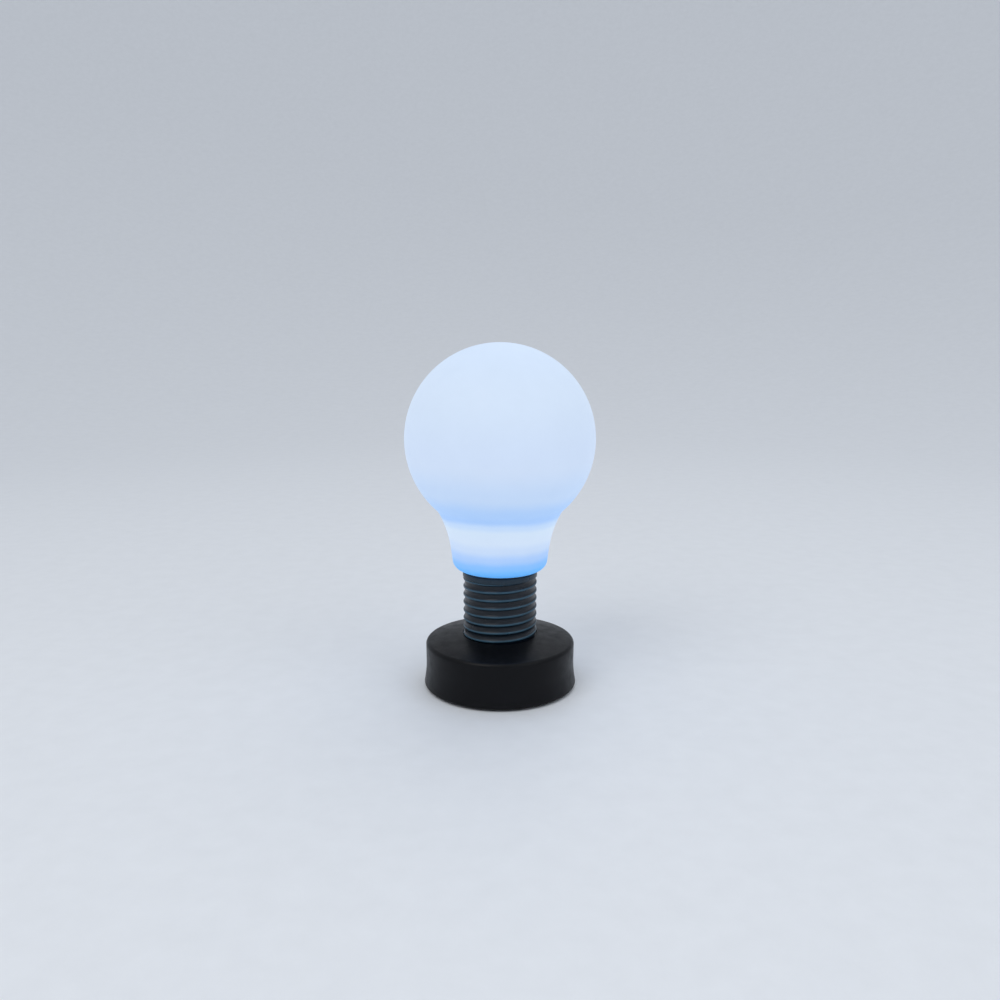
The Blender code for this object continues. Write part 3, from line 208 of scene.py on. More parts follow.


# dark in the grooves, with a painted highlight paler along the ridge tops, patchy and weaker on the
# collar
def neckMaterial():
    material = surface("graphiteAbs", neckTintAndHighlight["groove"], 0.34, 2200.0, 0.000012, mottle=0.15,
                       level=0.35)
    tree = material.node_tree
    shader = tree.nodes["Principled BSDF"]
    coords = tree.nodes.new("ShaderNodeTexCoord")
    flat = tree.nodes.new("ShaderNodeVectorMath")
    flat.operation = "MULTIPLY"
    flat.inputs[1].default_value = (1.0, 1.0, 0.0)
    link(tree, coords, "Object", flat, 0)
    radius = tree.nodes.new("ShaderNodeVectorMath")
    radius.operation = "LENGTH"
    link(tree, flat, "Vector", radius, 0)
    height = spread(tree, radius, "Value", neckTintAndHighlight["grooveRadius"], neckTintAndHighlight["ridgeRadius"],
                    0.0, 1.0)
    highlightNoise = noiseNode(tree, 300.0, 4.0)
    patchyHighlight = spread(tree, highlightNoise, "Fac", 0.3, 0.7, 0.75, 1.0)
    collar = spread(tree, splitAxes(tree, coords, "Object"), "Z",
                    neckTintAndHighlight["collarFoot"] - 0.3 * mm, neckTintAndHighlight["collarFoot"], 1.0,
                    neckTintAndHighlight["collarShare"])
    highlightMask = maths(tree, "MULTIPLY", patchyHighlight, "Result", collar, "Result")
    share = maths(tree, "MULTIPLY", height, "Result", highlightMask, "Value")
    before = shader.inputs["Base Color"].links[0].from_socket
    tree.links.new(blendColours(tree, share, "Value", before, neckTintAndHighlight["ridge"]),
                   shader.inputs["Base Color"])
    return material


graphiteAbs = neckMaterial()
blackAbs = surface("blackAbs", (0.0016, 0.0018, 0.0030), 0.38, 1500.0, 0.000022, mottle=0.18,
                   rub=(0.012, 0.013, 0.017), dust=0.01, level=0.16)
undersideAbs = surface("undersideAbs", (0.014, 0.014, 0.016), 0.55, 1100.0, 0.00004, mottle=0.2,
                       rub=(0.06, 0.06, 0.065))
doorAbs = surface("doorAbs", (0.017, 0.017, 0.019), 0.5, 1100.0, 0.00004, mottle=0.2,
                  rub=(0.07, 0.07, 0.075))
buttonAbs = surface("buttonAbs", (0.022, 0.023, 0.026), 0.3, 2200.0, 0.000008, coat=0.2,
                    rub=(0.12, 0.12, 0.13))
siliconeSeal = surface("siliconeSeal", (0.026, 0.026, 0.029), 0.72, 900.0, 0.00002, sheen=0.3)
footRubber = surface("footRubber", (0.04, 0.04, 0.043), 0.82, 700.0, 0.00005, mottle=0.25,
                     sheen=0.2)
socketSteel = surface("socketSteel", (0.60, 0.60, 0.62), 0.26, 1500.0, 0.000004, metal=1.0,
                      stretch=(1, 1, 5))
pinSteel = surface("pinSteel", (0.58, 0.58, 0.60), 0.22, 1800.0, 0.000003, metal=1.0,
                   stretch=(0.2, 1, 1))
insertBlack = surface("insertBlack", (0.012, 0.012, 0.013), 0.45, 2500.0, 0.000006)
goldPlate = surface("goldPlate", (0.83, 0.60, 0.25), 0.25, 3000.0, 0.000002, metal=1.0)
copperTin = surface("copperTin", (0.72, 0.71, 0.68), 0.33, 2600.0, 0.000008, metal=1.0)
copperWire = surface("copperWire", (0.70, 0.31, 0.14), 0.35, 2600.0, 0.000006, metal=1.0)
blackScrew = surface("blackScrew", (0.035, 0.035, 0.04), 0.34, 2600.0, 0.000005, metal=0.9,
                     rub=(0.30, 0.30, 0.31))
zincScrew = surface("zincScrew", (0.62, 0.63, 0.66), 0.28, 2600.0, 0.000005, metal=1.0,
                    mottle=0.1)
whitePolymer = surface("whitePolymer", (0.80, 0.80, 0.78), 0.42, 1800.0, 0.000012, mottle=0.03,
                       rub=(0.9, 0.9, 0.88))
spreaderAluminium = surface("spreaderAluminium", (0.76, 0.77, 0.78), 0.30, 900.0, 0.000006,
                            metal=1.0, mottle=0.06, stretch=(1, 1, 6))
whiteBoard = surface("whiteBoard", (0.84, 0.85, 0.83), 0.38, 2000.0, 0.000006, mottle=0.03)
ledPackage = surface("ledPackage", (0.88, 0.88, 0.84), 0.35, 2600.0, 0.000004, mottle=0.03)
chipEpoxy = surface("chipEpoxy", (0.018, 0.018, 0.02), 0.5, 4200.0, 0.000012, mottle=0.15)
tanCeramic = surface("tanCeramic", (0.42, 0.28, 0.15), 0.4, 2600.0, 0.000006, mottle=0.12)
ferrite = surface("ferrite", (0.065, 0.065, 0.07), 0.6, 1500.0, 0.00002, mottle=0.2)
capacitorSleeve = surface("capacitorSleeve", (0.025, 0.035, 0.085), 0.24, 900.0, 0.000006,
                          coat=0.4)
connectorNylon = surface("connectorNylon", (0.80, 0.78, 0.70), 0.42, 1700.0, 0.00001, mottle=0.05)
switchBody = surface("switchBody", (0.035, 0.035, 0.04), 0.5, 2200.0, 0.00001)
shieldCan = surface("shieldCan", (0.66, 0.66, 0.67), 0.30, 700.0, 0.000006, metal=1.0,
                    stretch=(1, 8, 1))
cellWrap = surface("cellWrap", (0.035, 0.20, 0.26), 0.26, 900.0, 0.000004, mottle=0.08, coat=0.5,
                   coatRough=0.12)
cellBand = surface("cellBand", (0.55, 0.33, 0.12), 0.3, 1500.0, 0.000004, metal=0.8, coat=0.4)
cellMetal = surface("cellMetal", (0.66, 0.66, 0.65), 0.28, 1500.0, 0.000004, metal=1.0)
nickelSheet = surface("nickelSheet", (0.68, 0.67, 0.63), 0.26, 1200.0, 0.000005, metal=1.0,
                      stretch=(1, 1, 6))
nickelWire = surface("nickelWire", (0.70, 0.69, 0.65), 0.22, 2200.0, 0.000003, metal=1.0)
cableSheath = surface("cableSheath", (0.74, 0.74, 0.72), 0.4, 1500.0, 0.000006, mottle=0.03)
redLead = surface("redLead", (0.46, 0.02, 0.018), 0.35, 1500.0, 0.000006)
blackLead = surface("blackLead", (0.016, 0.016, 0.018), 0.35, 1500.0, 0.000006)


# the clear filling of a light package, lit from its dies
def litMaterial():
    material = surface("ledGlow", (0.55, 0.62, 0.70), 0.15, 900.0, 0.000003, mottle=0.05, coat=0.6,
                       coatRough=0.05)
    shader = material.node_tree.nodes["Principled BSDF"]
    shader.inputs["Emission Color"].default_value = (0.5, 0.72, 1.0, 1.0)
    shader.inputs["Emission Strength"].default_value = 3.0
    return material


# solder mask with copper tracks showing through
def maskMaterial():
    material = surface("greenBoard", (0.016, 0.12, 0.055), 0.32, 2600.0, 0.000004, coat=0.25)
    tree = material.node_tree
    shader = tree.nodes["Principled BSDF"]
    coords = tree.nodes.new("ShaderNodeTexCoord")
    cells = tree.nodes.new("ShaderNodeTexVoronoi")
    cells.feature = "DISTANCE_TO_EDGE"
    cells.distance = "EUCLIDEAN"
    cells.inputs["Scale"].default_value = 420.0
    cells.inputs["Randomness"].default_value = 0.55
    link(tree, coords, "Object", cells, "Vector")
    tracks = spread(tree, cells, "Distance", 0.03, 0.07, 1.0, 0.0)
    before = shader.inputs["Base Color"].links[0].from_socket
    tracked = blendColours(tree, tracks, "Result", before, (0.05, 0.24, 0.10))
    tree.links.new(tracked, shader.inputs["Base Color"])
    addBump(tree, shader, tracks, "Result", 0.00002, 0.6)
    return material


ledGlow = litMaterial()
greenBoard = maskMaterial()
print("materials ready")


# shaping

weldDistance = 0.000002


def drawProfile(bm, start, moves, closed=False):
    first = bm.verts.new((start[0], 0, start[1]))
    tip = first
    for move in moves:
        if len(move) == 2:                     # a straight run to (radius, height)
            tip = bmesh.ops.extrude_vert_indiv(bm, verts=[tip])["verts"][0]
            tip.co = (move[0], 0, move[1])
        else:                                  # an arc: its centre, its turn, its steps
            radius, height, turn, steps = move
            swept = bmesh.ops.spin(bm, geom=[tip], cent=(radius, 0, height), axis=(0, -1, 0),
                                   angle=radians(turn), steps=steps)
            tip = swept["geom_last"][0]
    if closed:
        bm.edges.new((tip, first))
    return tip


def spinRound(bm, steps):
    bmesh.ops.spin(bm, geom=bm.verts[:] + bm.edges[:], cent=(0, 0, 0), axis=(0, 0, 1),
                   angle=2 * pi, steps=steps, use_merge=True)


def bevel(bm, geom, offset, segments, affect="EDGES"):
    bmesh.ops.bevel(bm, geom=geom, offset=offset, segments=segments, profile=0.5, affect=affect,
                    material=-1)


def closeHoles(bm):
    bmesh.ops.holes_fill(bm, edges=[e for e in bm.edges if e.is_boundary], sides=0)
    bmesh.ops.recalc_face_normals(bm, faces=bm.faces)


def clean(bm, distance):
    bmesh.ops.remove_doubles(bm, verts=bm.verts, dist=distance)
    bmesh.ops.dissolve_degenerate(bm, edges=bm.edges, dist=distance)


def turned(start, moves, steps=96, closed=False):
    bm = bmesh.new()
    drawProfile(bm, start, moves, closed)
    spinRound(bm, steps)
    clean(bm, weldDistance)
    bmesh.ops.recalc_face_normals(bm, faces=bm.faces)
    return bm


def roundedBox(size, corner=0.0, edge=0.0, segments=4):
    bm = bmesh.new()
    bmesh.ops.create_cube(bm, size=1.0)
    bmesh.ops.scale(bm, vec=size, verts=bm.verts)
    if corner:
        upright = [e for e in bm.edges if abs((e.verts[0].co - e.verts[1].co).z) > 1e-7]
        bevel(bm, upright, corner, segments)
    if edge:
        flat = [e for e in bm.edges if len(e.link_faces) == 2 and e.calc_face_angle() > 0.9]
        bevel(bm, flat, edge, 2)
    return bm


def rod(radius, length, steps=32, edge=0.0):
    bm = bmesh.new()
    bmesh.ops.create_cone(bm, cap_ends=True, segments=steps, radius1=radius, radius2=radius,
                          depth=length)
    if edge:
        rims = [e for e in bm.edges if len(e.link_faces) == 2 and e.calc_face_angle() > 1.0]
        bevel(bm, rims, edge, 3)
    return bm


def put(bm, x=0.0, y=0.0, z=0.0, turn=0.0, tilt=None):
    place = Matrix.Translation((x, y, z)) @ Matrix.Rotation(turn, 4, "Z")
    if tilt:
        place = place @ Matrix.Rotation(tilt[1], 4, tilt[0])
    bmesh.ops.transform(bm, matrix=place, verts=bm.verts)
    return bm


def gather(*shapes):
    whole = bmesh.new()
    for shape in shapes:
        mesh = bpy.data.meshes.new("working")
        shape.to_mesh(mesh)
        shape.free()
        whole.from_mesh(mesh)
        bpy.data.meshes.remove(mesh)
    return whole


# joins two solids, or takes the second out of the first
def combine(body, tool, operation="DIFFERENCE"):
    things = []
    for shape in (body, tool):
        mesh = bpy.data.meshes.new("working")
        shape.to_mesh(mesh)
        shape.free()
        thing = bpy.data.objects.new("working", mesh)
        scene.collection.objects.link(thing)
        things.append(thing)
    step = things[0].modifiers.new("combine", "BOOLEAN")
    step.operation = operation
    step.solver = "EXACT"
    step.object = things[1]
    graph = bpy.context.evaluated_depsgraph_get()
    result = bmesh.new()
    result.from_mesh(things[0].evaluated_get(graph).data)
    for thing in things:
        mesh = thing.data
        bpy.data.objects.remove(thing)
        bpy.data.meshes.remove(mesh)
    clean(result, weldDistance / 2)
    return result


# a finished piece in place of a node, riding on its body
def piece(name, bm, material, node, crease=35.0, body="stand"):
    materials = material if isinstance(material, list) else [material]
    for face in bm.faces:
        face.smooth = True
    for edge in bm.edges:
        if len(edge.link_faces) == 2 and edge.calc_face_angle() > radians(crease):
            edge.smooth = False
    mesh = bpy.data.meshes.new(name)
    bm.to_mesh(mesh)
    bm.free()
    for one in materials:
        mesh.materials.append(one)
    thing = bpy.data.objects.new(name, mesh)
    scene.collection.objects.link(thing)
    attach(thing, body)
    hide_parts(node)
    return thing


# stage, light and camera

stageSizes = {"floorRadius": 1.1, "sweep": 2.2, "sweepTurn": 78.0, "colour": (0.80, 0.82, 0.85),
              "sky": (0.90, 0.94, 1.0), "skyPower": 0.66, "aimHeight": 0.09}
lights = {
    "key": {"at": (-0.72, -0.95, 1.40), "size": 1.1, "power": 7.2, "colour": (1.0, 0.985, 0.96)},
    "fill": {"at": (0.90, -0.70, 1.00), "size": 1.2, "power": 2.8, "colour": (0.92, 0.96, 1.0)},
    "rear": {"at": (0.35, 0.80, 1.55), "size": 1.3, "power": 2.8, "colour": (0.94, 0.97, 1.0)},
}
cameraSizes = {"at": (0.0, -0.525, 0.21304), "down": 10.87, "lens": 32.98}


def makeStage():
    s = stageSizes
    bm = bmesh.new()
    drawProfile(bm, (0.0, 0.0), [(0.4, 0.0), (s["floorRadius"], 0.0),
                                 (s["floorRadius"], s["sweep"], s["sweepTurn"], 24)])
    spinRound(bm, 96)
    bmesh.ops.remove_doubles(bm, verts=bm.verts, dist=0.00001)
    bmesh.ops.recalc_face_normals(bm, faces=bm.faces)
    if min(bm.faces, key=lambda f: f.calc_center_median().length).normal.z < 0:
        bmesh.ops.reverse_faces(bm, faces=bm.faces)
    for face in bm.faces:
        face.smooth = True
    mesh = bpy.data.meshes.new("floor")
    bm.to_mesh(mesh)
    bm.free()
    mesh.materials.append(surface("paleFloor", s["colour"], 0.55, 900.0, 0.00003, mottle=0.015,
                                  roughDrift=0.05))
    floor = bpy.data.objects.new("floor", mesh)
    scene.collection.objects.link(floor)

    world = bpy.data.worlds.new("studio")
    scene.world = world
    world.use_nodes = True
    background = world.node_tree.nodes["Background"]
    background.inputs["Color"].default_value = (*s["sky"], 1.0)
    background.inputs["Strength"].default_value = s["skyPower"]

    for name, spec in lights.items():
        lamp = bpy.data.lights.new(name, "AREA")
        lamp.shape = "DISK"
        lamp.size = spec["size"]
        lamp.energy = spec["power"]
        lamp.color = spec["colour"]
        thing = bpy.data.objects.new(name, lamp)
        thing.location = spec["at"]
        aim = Vector((0, 0, s["aimHeight"])) - Vector(spec["at"])
        thing.rotation_euler = aim.to_track_quat("-Z", "Y").to_euler()
        scene.collection.objects.link(thing)

    camera = bpy.data.cameras.new("camera")
    camera.sensor_width = 36.0
    camera.lens = cameraSizes["lens"]
    camera.clip_start = 0.01
    viewer = bpy.data.objects.new("camera", camera)
    viewer.location = cameraSizes["at"]
    viewer.rotation_euler = (radians(90.0 - cameraSizes["down"]), 0, 0)
    scene.collection.objects.link(viewer)
    scene.camera = viewer
    scene.view_settings.view_transform = "Standard"


makeStage()
print("stage, light and camera ready")


# shade

shadeSizes = {
    "wall": 1.8 * mm, "lipInner": 20.5 * mm, "lipRound": 6.0 * mm, "waist": 27.85 * mm,
    "taper": 7.5, "taperLength": 7.0 * mm, "flare": 66.0 * mm, "creaseLean": 29.0,
    "creaseRound": 0.0016, "notchWidth": 24.0, "notchReach": 21.9 * mm, "twist": 40.0,
}


def shadeProfile():
    size, low = placeOf("shade")[1:3]
    s = shadeSizes
    globe = size.x / 2
    taper, crease = radians(s["taper"]), radians(s["creaseLean"])
    bottom = low.z
    lipR = s["waist"] - s["lipRound"] * cos(taper)
    lipZ = bottom + s["lipRound"]
    waistZ = lipZ - s["lipRound"] * sin(taper)
    flareFoot = (s["waist"] + s["taperLength"] * sin(taper), waistZ + s["taperLength"] * cos(taper))
    flareR = flareFoot[0] + s["flare"] * cos(taper)
    flareZ = flareFoot[1] - s["flare"] * sin(taper)
    creaseR = flareR - s["flare"] * cos(crease)
    creaseZ = flareZ + s["flare"] * sin(crease)
    globeZ = creaseZ + sqrt(globe ** 2 - creaseR ** 2)
    rise = degrees(acos(creaseR / globe))
    moves = [(lipR, bottom), (lipR, lipZ, 90.0 - s["taper"], 10), flareFoot,
             (flareR, flareZ, s["taper"] - s["creaseLean"], 12)]
    return moves, globeZ, creaseR, rise


def makeShade():
    s = shadeSizes
    low = placeOf("shade")[2]
    moves, globeZ, creaseR, rise = shadeProfile()
    bm = bmesh.new()
    start = (s["lipInner"], low.z)
    foot = drawProfile(bm, start, [(s["notchReach"], low.z)] + moves)
    bmesh.ops.spin(bm, geom=[foot], cent=(0, 0, globeZ), axis=(0, -1, 0),
                   angle=radians(90.0 + rise), steps=44)
    corner = [v for v in bm.verts if abs(v.co.x - creaseR) < 0.00002 and v.co.z < globeZ]
    bevel(bm, corner, s["creaseRound"], 4, "VERTICES")
    spinRound(bm, 180)
    clean(bm, weldDistance)
    bmesh.ops.recalc_face_normals(bm, faces=bm.faces)
    # three notches in the lip let it down over the lugs
    gone = []
    for face in bm.faces:
        spot = face.calc_center_median()
        if spot.z < low.z + 0.0001 and spot.xy.length < s["notchReach"]:
            turn = degrees(atan2(spot.y, spot.x)) + s["twist"]
            off = (turn + 60.0) % 120.0 - 60.0
            if abs(off) < s["notchWidth"] / 2:
                gone.append(face)
    bmesh.ops.delete(bm, geom=gone, context="FACES")
    thing = piece("opal_globe_shade", bm, opalShade, "shade", 60.0, "shade_assembly")
    wall = thing.modifiers.new("wall", "SOLIDIFY")
    wall.thickness = s["wall"]
    wall.offset = -1.0
    wall.use_even_offset = True


makeShade()
print("shade ready")


# seal and neck

neckSizes = {
    "root": 20.95 * mm, "crest": 21.8 * mm, "collar": 22.0 * mm, "collarHeight": 3.4 * mm,
    "pitch": 4.85 * mm, "flank": 0.776 * mm, "crestWidth": 0.873 * mm, "wall": 3.15 * mm,
    "columnRadius": 3.0 * mm, "columnCircle": 15.6 * mm, "shankHole": 1.4 * mm,
    "stepsPerTurn": 72,
}
columnAngles = [radians(30.0), radians(150.0), radians(270.0)]


def makeSeal():
    size, low, high = placeOf("shade_seal")[1:]
    outer, inner = size.x / 2, shadeSizes["lipInner"]
    lipStep = 0.2 * mm
    bm = turned((inner, low.z), [(outer - lipStep, low.z),
                                 (outer - lipStep, low.z + lipStep, 90.0, 4),
                                 (outer, high.z - lipStep),
                                 (outer - lipStep, high.z - lipStep, 90.0, 4),
                                 (inner, high.z)], 128, closed=True)
    piece("seal_ring", bm, siliconeSeal, "shade_seal")


def neckThread():
    size, low, high = placeOf("threaded_neck")[1:]
    s = neckSizes
    stepsPerTurn = s["stepsPerTurn"]
    turns = int(size.z / s["pitch"]) + 3
    topCrest = high.z - s["collarHeight"] - s["pitch"]
    crestMiddle = s["flank"] + s["crestWidth"] / 2
    start = topCrest - crestMiddle - (turns - 1.25) * s["pitch"]
    bm = bmesh.new()
    rise = s["crest"] - s["root"]
    flank = s["flank"]
    far = 2 * flank + s["crestWidth"]
    near = [(0.0, 0.0), (0.10, 0.22 * flank), (0.50, 0.60 * flank), (0.85, 0.92 * flank),
            (0.98, flank + 0.28 * s["crestWidth"])]
    heights = [(s["root"] + share * rise, z) for share, z in near]
    heights += [(s["crest"], crestMiddle)]
    heights += [(s["root"] + share * rise, far - z) for share, z in near[::-1]]
    heights += [(s["root"], (far + s["pitch"]) / 2), (s["root"], s["pitch"])]
    drawProfile(bm, (heights[0][0], start), [(r, start + z) for r, z in heights[1:]])
    bmesh.ops.spin(bm, geom=bm.verts[:] + bm.edges[:], cent=(0, 0, 0), axis=(0, 0, 1),
                   dvec=(0, 0, s["pitch"] / stepsPerTurn), angle=2 * pi * turns,
                   steps=stepsPerTurn * turns)
    bmesh.ops.remove_doubles(bm, verts=bm.verts, dist=0.000008)
    for height, side in ((high.z - s["collarHeight"] / 2, 1), (low.z, -1)):
        whole = bm.verts[:] + bm.edges[:] + bm.faces[:]
        bmesh.ops.bisect_plane(bm, geom=whole, dist=1e-7, plane_co=(0, 0, height),
                               plane_no=(0, 0, side), clear_outer=True)
    openEdges = [edge for edge in bm.edges if edge.is_boundary]
    caps = bmesh.ops.holes_fill(bm, edges=openEdges, sides=0)["faces"]
    bmesh.ops.triangulate(bm, faces=caps)
    bmesh.ops.recalc_face_normals(bm, faces=bm.faces)
    return bm


def makeNeck():
    middle, size, low, high = placeOf("threaded_neck")
    s = neckSizes
    bm = neckThread()
    edge = 0.5 * mm
    foot = high.z - s["collarHeight"]
    collar = turned((0.0, foot - edge), [(s["root"] - edge, foot - edge),
                                         (s["collar"] - edge, foot),
                                         (s["collar"] - edge, foot + edge, 90.0, 4),
                                         (s["collar"], high.z - edge),
                                         (s["collar"] - edge, high.z - edge, 90.0, 4),
                                         (0.0, high.z)], 128)
    bm = combine(bm, collar, "UNION")
    bore = s["root"] - s["wall"]
    hollow = put(rod(bore, size.z + 10 * mm, 96), z=middle.z)
    columns = []
    holes = []
    for angle in columnAngles:
        x, y = s["columnCircle"] * cos(angle), s["columnCircle"] * sin(angle)
        columns.append(put(rod(s["columnRadius"], size.z + 20 * mm, 48), x, y, middle.z))
        holes.append(put(rod(s["shankHole"], 14 * mm, 24), x, y, low.z))
        holes.append(put(rod(s["shankHole"], 14 * mm, 24), x, y, high.z))
    hollow = combine(hollow, gather(*columns))
    bm = combine(bm, hollow)
    bm = combine(bm, gather(*holes))
    piece("threaded_neck_tube", bm, graphiteAbs, "threaded_neck", 40.0)


makeSeal()
makeNeck()
print("neck ready")


# base housing

baseSizes = {
    "wall": 2.2 * mm, "roof": 2.4 * mm, "recess": 0.8 * mm, "port": 10.0 * mm, "side": 44.25 * mm,
    "rim": 28.0 * mm, "crownSwell": 0.4 * mm, "topRound": 2.5 * mm, "footRound": 1.5 * mm,
    "flareHeight": 14.0 * mm, "waist": 0.12 * mm, "boss": 3.2 * mm, "shankHole": 1.4 * mm,
    "screwX": 35.5 * mm, "screwY": 12.0 * mm, "socketAngle": 108.0, "buttonAngle": 72.0,
    "plateTop": 4.2 * mm,
}


def makeHousing():
    size, low, high = placeOf("base_housing")[1:]
    s = baseSizes
    foot = size.x / 2
    side = s["side"]
    inner = side - s["wall"]
    seat = neckSizes["crest"] + 0.3 * mm
    seatFloor = high.z - s["recess"]
    ceiling = high.z - s["roof"]
    chamfer = 0.25 * mm
    edge = side - s["topRound"]
    lean = atan2(high.z - s["rim"], edge - seat)
    profile = [(seat, seatFloor), (seat, high.z - chamfer), (seat + chamfer, high.z)]
    crown = 10                                 # the top bulges a little from neck to rim
    for step in range(1, crown):
        share = step / crown
        bulge = 4 * s["crownSwell"] * share * (1 - share)
        profile.append((seat + (edge - seat) * share,
                        high.z + (s["rim"] - high.z) * share + bulge))
    shoulder = (edge + s["topRound"] * sin(lean), s["rim"] - s["topRound"] * (1 - cos(lean)))
    profile += [shoulder, (edge, s["rim"] - s["topRound"], -90.0 + degrees(lean), 10)]
    swell = low.z + s["footRound"]
    steps = 14
    for step in range(1, steps + 1):
        share = step / steps
        height = s["rim"] - s["topRound"] + (swell - s["rim"] + s["topRound"]) * share
        flare = max(0.0, (s["flareHeight"] - height) / (s["flareHeight"] - swell)) ** 2
        hollow = s["waist"] * sin(pi * min(1.0, share * 1.3)) if share < 0.77 else 0.0
        profile.append((side - hollow + (foot - side) * flare, height))
    profile += [(foot - s["footRound"], swell, -90.0, 8), (inner + 0.4 * mm, low.z),
                (inner, low.z + 0.4 * mm), (inner, s["rim"] - s["roof"]), (seat, ceiling),
                (s["port"], ceiling)]
    bm = turned((s["port"], seatFloor), profile, 144, closed=True)
    plateTop = s["plateTop"]
    bosses, holes = [], []
    for x in (-s["screwX"], s["screwX"]):
        for y in (-s["screwY"], s["screwY"]):
            length = s["rim"] - 0.7 * mm - plateTop - 0.3 * mm
            bosses.append(put(rod(s["boss"], length, 40), x, y, plateTop + 0.3 * mm + length / 2))
            holes.append(put(rod(s["shankHole"], 9.0 * mm, 24), x, y, plateTop + 4.0 * mm))
    for angle in columnAngles:
        circle = neckSizes["columnCircle"]
        holes.append(put(rod(s["shankHole"], 8 * mm, 24), circle * cos(angle),
                         circle * sin(angle), high.z))
    bm = combine(bm, gather(*bosses), "UNION")
    bm = combine(bm, gather(*holes))

    # the charging inlet's mouth, with a softened outer edge, and the button's hole
    socket = placeOf("usb_socket")[0]
    button = placeOf("power_button")[0]
    turn = radians(s["socketAngle"])
    mouth = roundedBox((3.8 * mm, 9.6 * mm, 12 * mm), 1.85 * mm, segments=8)
    put(mouth, tilt=("Y", pi / 2))
    put(mouth, side * cos(turn), side * sin(turn), socket.z, turn)
    lead = bmesh.new()
    bmesh.ops.create_cone(lead, cap_ends=True, segments=64, radius1=2.2 * mm, radius2=3.5 * mm,
                          depth=1.3 * mm)
    bmesh.ops.scale(lead, vec=(0.66, 1.75, 1.0), verts=lead.verts)
    put(lead, tilt=("Y", pi / 2))
    put(lead, (side + 0.1 * mm) * cos(turn), (side + 0.1 * mm) * sin(turn), socket.z, turn)
    bm = combine(bm, mouth)
    bm = combine(bm, lead)
    turn = radians(s["buttonAngle"])
    hole = put(rod(3.5 * mm, 10 * mm, 64), tilt=("Y", pi / 2))
    put(hole, side * cos(turn), side * sin(turn), button.z, turn)
    bm = combine(bm, hole)
    piece("base_housing_shell", bm, blackAbs, "base_housing", 38.0)


makeHousing()
print("housing ready")

# underside plate, battery door, feet

plateSizes = {
    "radius": 41.75 * mm, "bottom": 1.4 * mm, "top": 4.2 * mm, "trayX": 27.85 * mm,
    "trayY": 22.5 * mm, "trayWall": 1.2 * mm, "trayTop": 19.4 * mm, "doorX": 29.35 * mm,
    "doorY": 24.0 * mm, "doorThick": 1.8 * mm, "postTop": 8.7 * mm, "postFoot": 2.4 * mm,
    "corner": 3.0 * mm, "gap": 0.3 * mm, "swingRoom": 1.2 * mm, "hingeY": -26.3 * mm,
    "hingeZ": 3.4 * mm, "knuckle": 2.0 * mm, "knuckleEnd": 11.0 * mm, "knuckleMiddle": 3.7 * mm,
    "pin": 0.8 * mm, "postX": 21.5 * mm, "postY": 28.2 * mm, "post": 2.6 * mm,
    "footX": 35.5 * mm, "footY": 34.0 * mm, "foot": 3.6 * mm, "tabZ": 14.35 * mm,
    "scoop": 5.0 * mm, "ribThick": 1.1 * mm, "ribTop": 7.0 * mm,
    "ribs": (-18 * mm, -9 * mm, 9 * mm, 18 * mm), "screwHole": 1.4 * mm, "screwHead": 2.5 * mm,
}


def slab(low, high, corner=0.0, edge=0.0, segments=4):
    size = Vector(high) - Vector(low)
    centre = (Vector(high) + Vector(low)) / 2
    return put(roundedBox(size, corner, edge, segments), *centre)


def hingeTube(first, last):
    s = plateSizes
    outer, inner = s["knuckle"], s["pin"] + s["gap"]
    bm = turned((inner, first), [(outer - 0.15 * mm, first), (outer, first + 0.15 * mm),
                                 (outer, last - 0.15 * mm), (outer - 0.15 * mm, last),
                                 (inner, last)], 48, closed=True)
    put(bm, tilt=("Y", pi / 2))
    return put(bm, 0, s["hingeY"], s["hingeZ"])


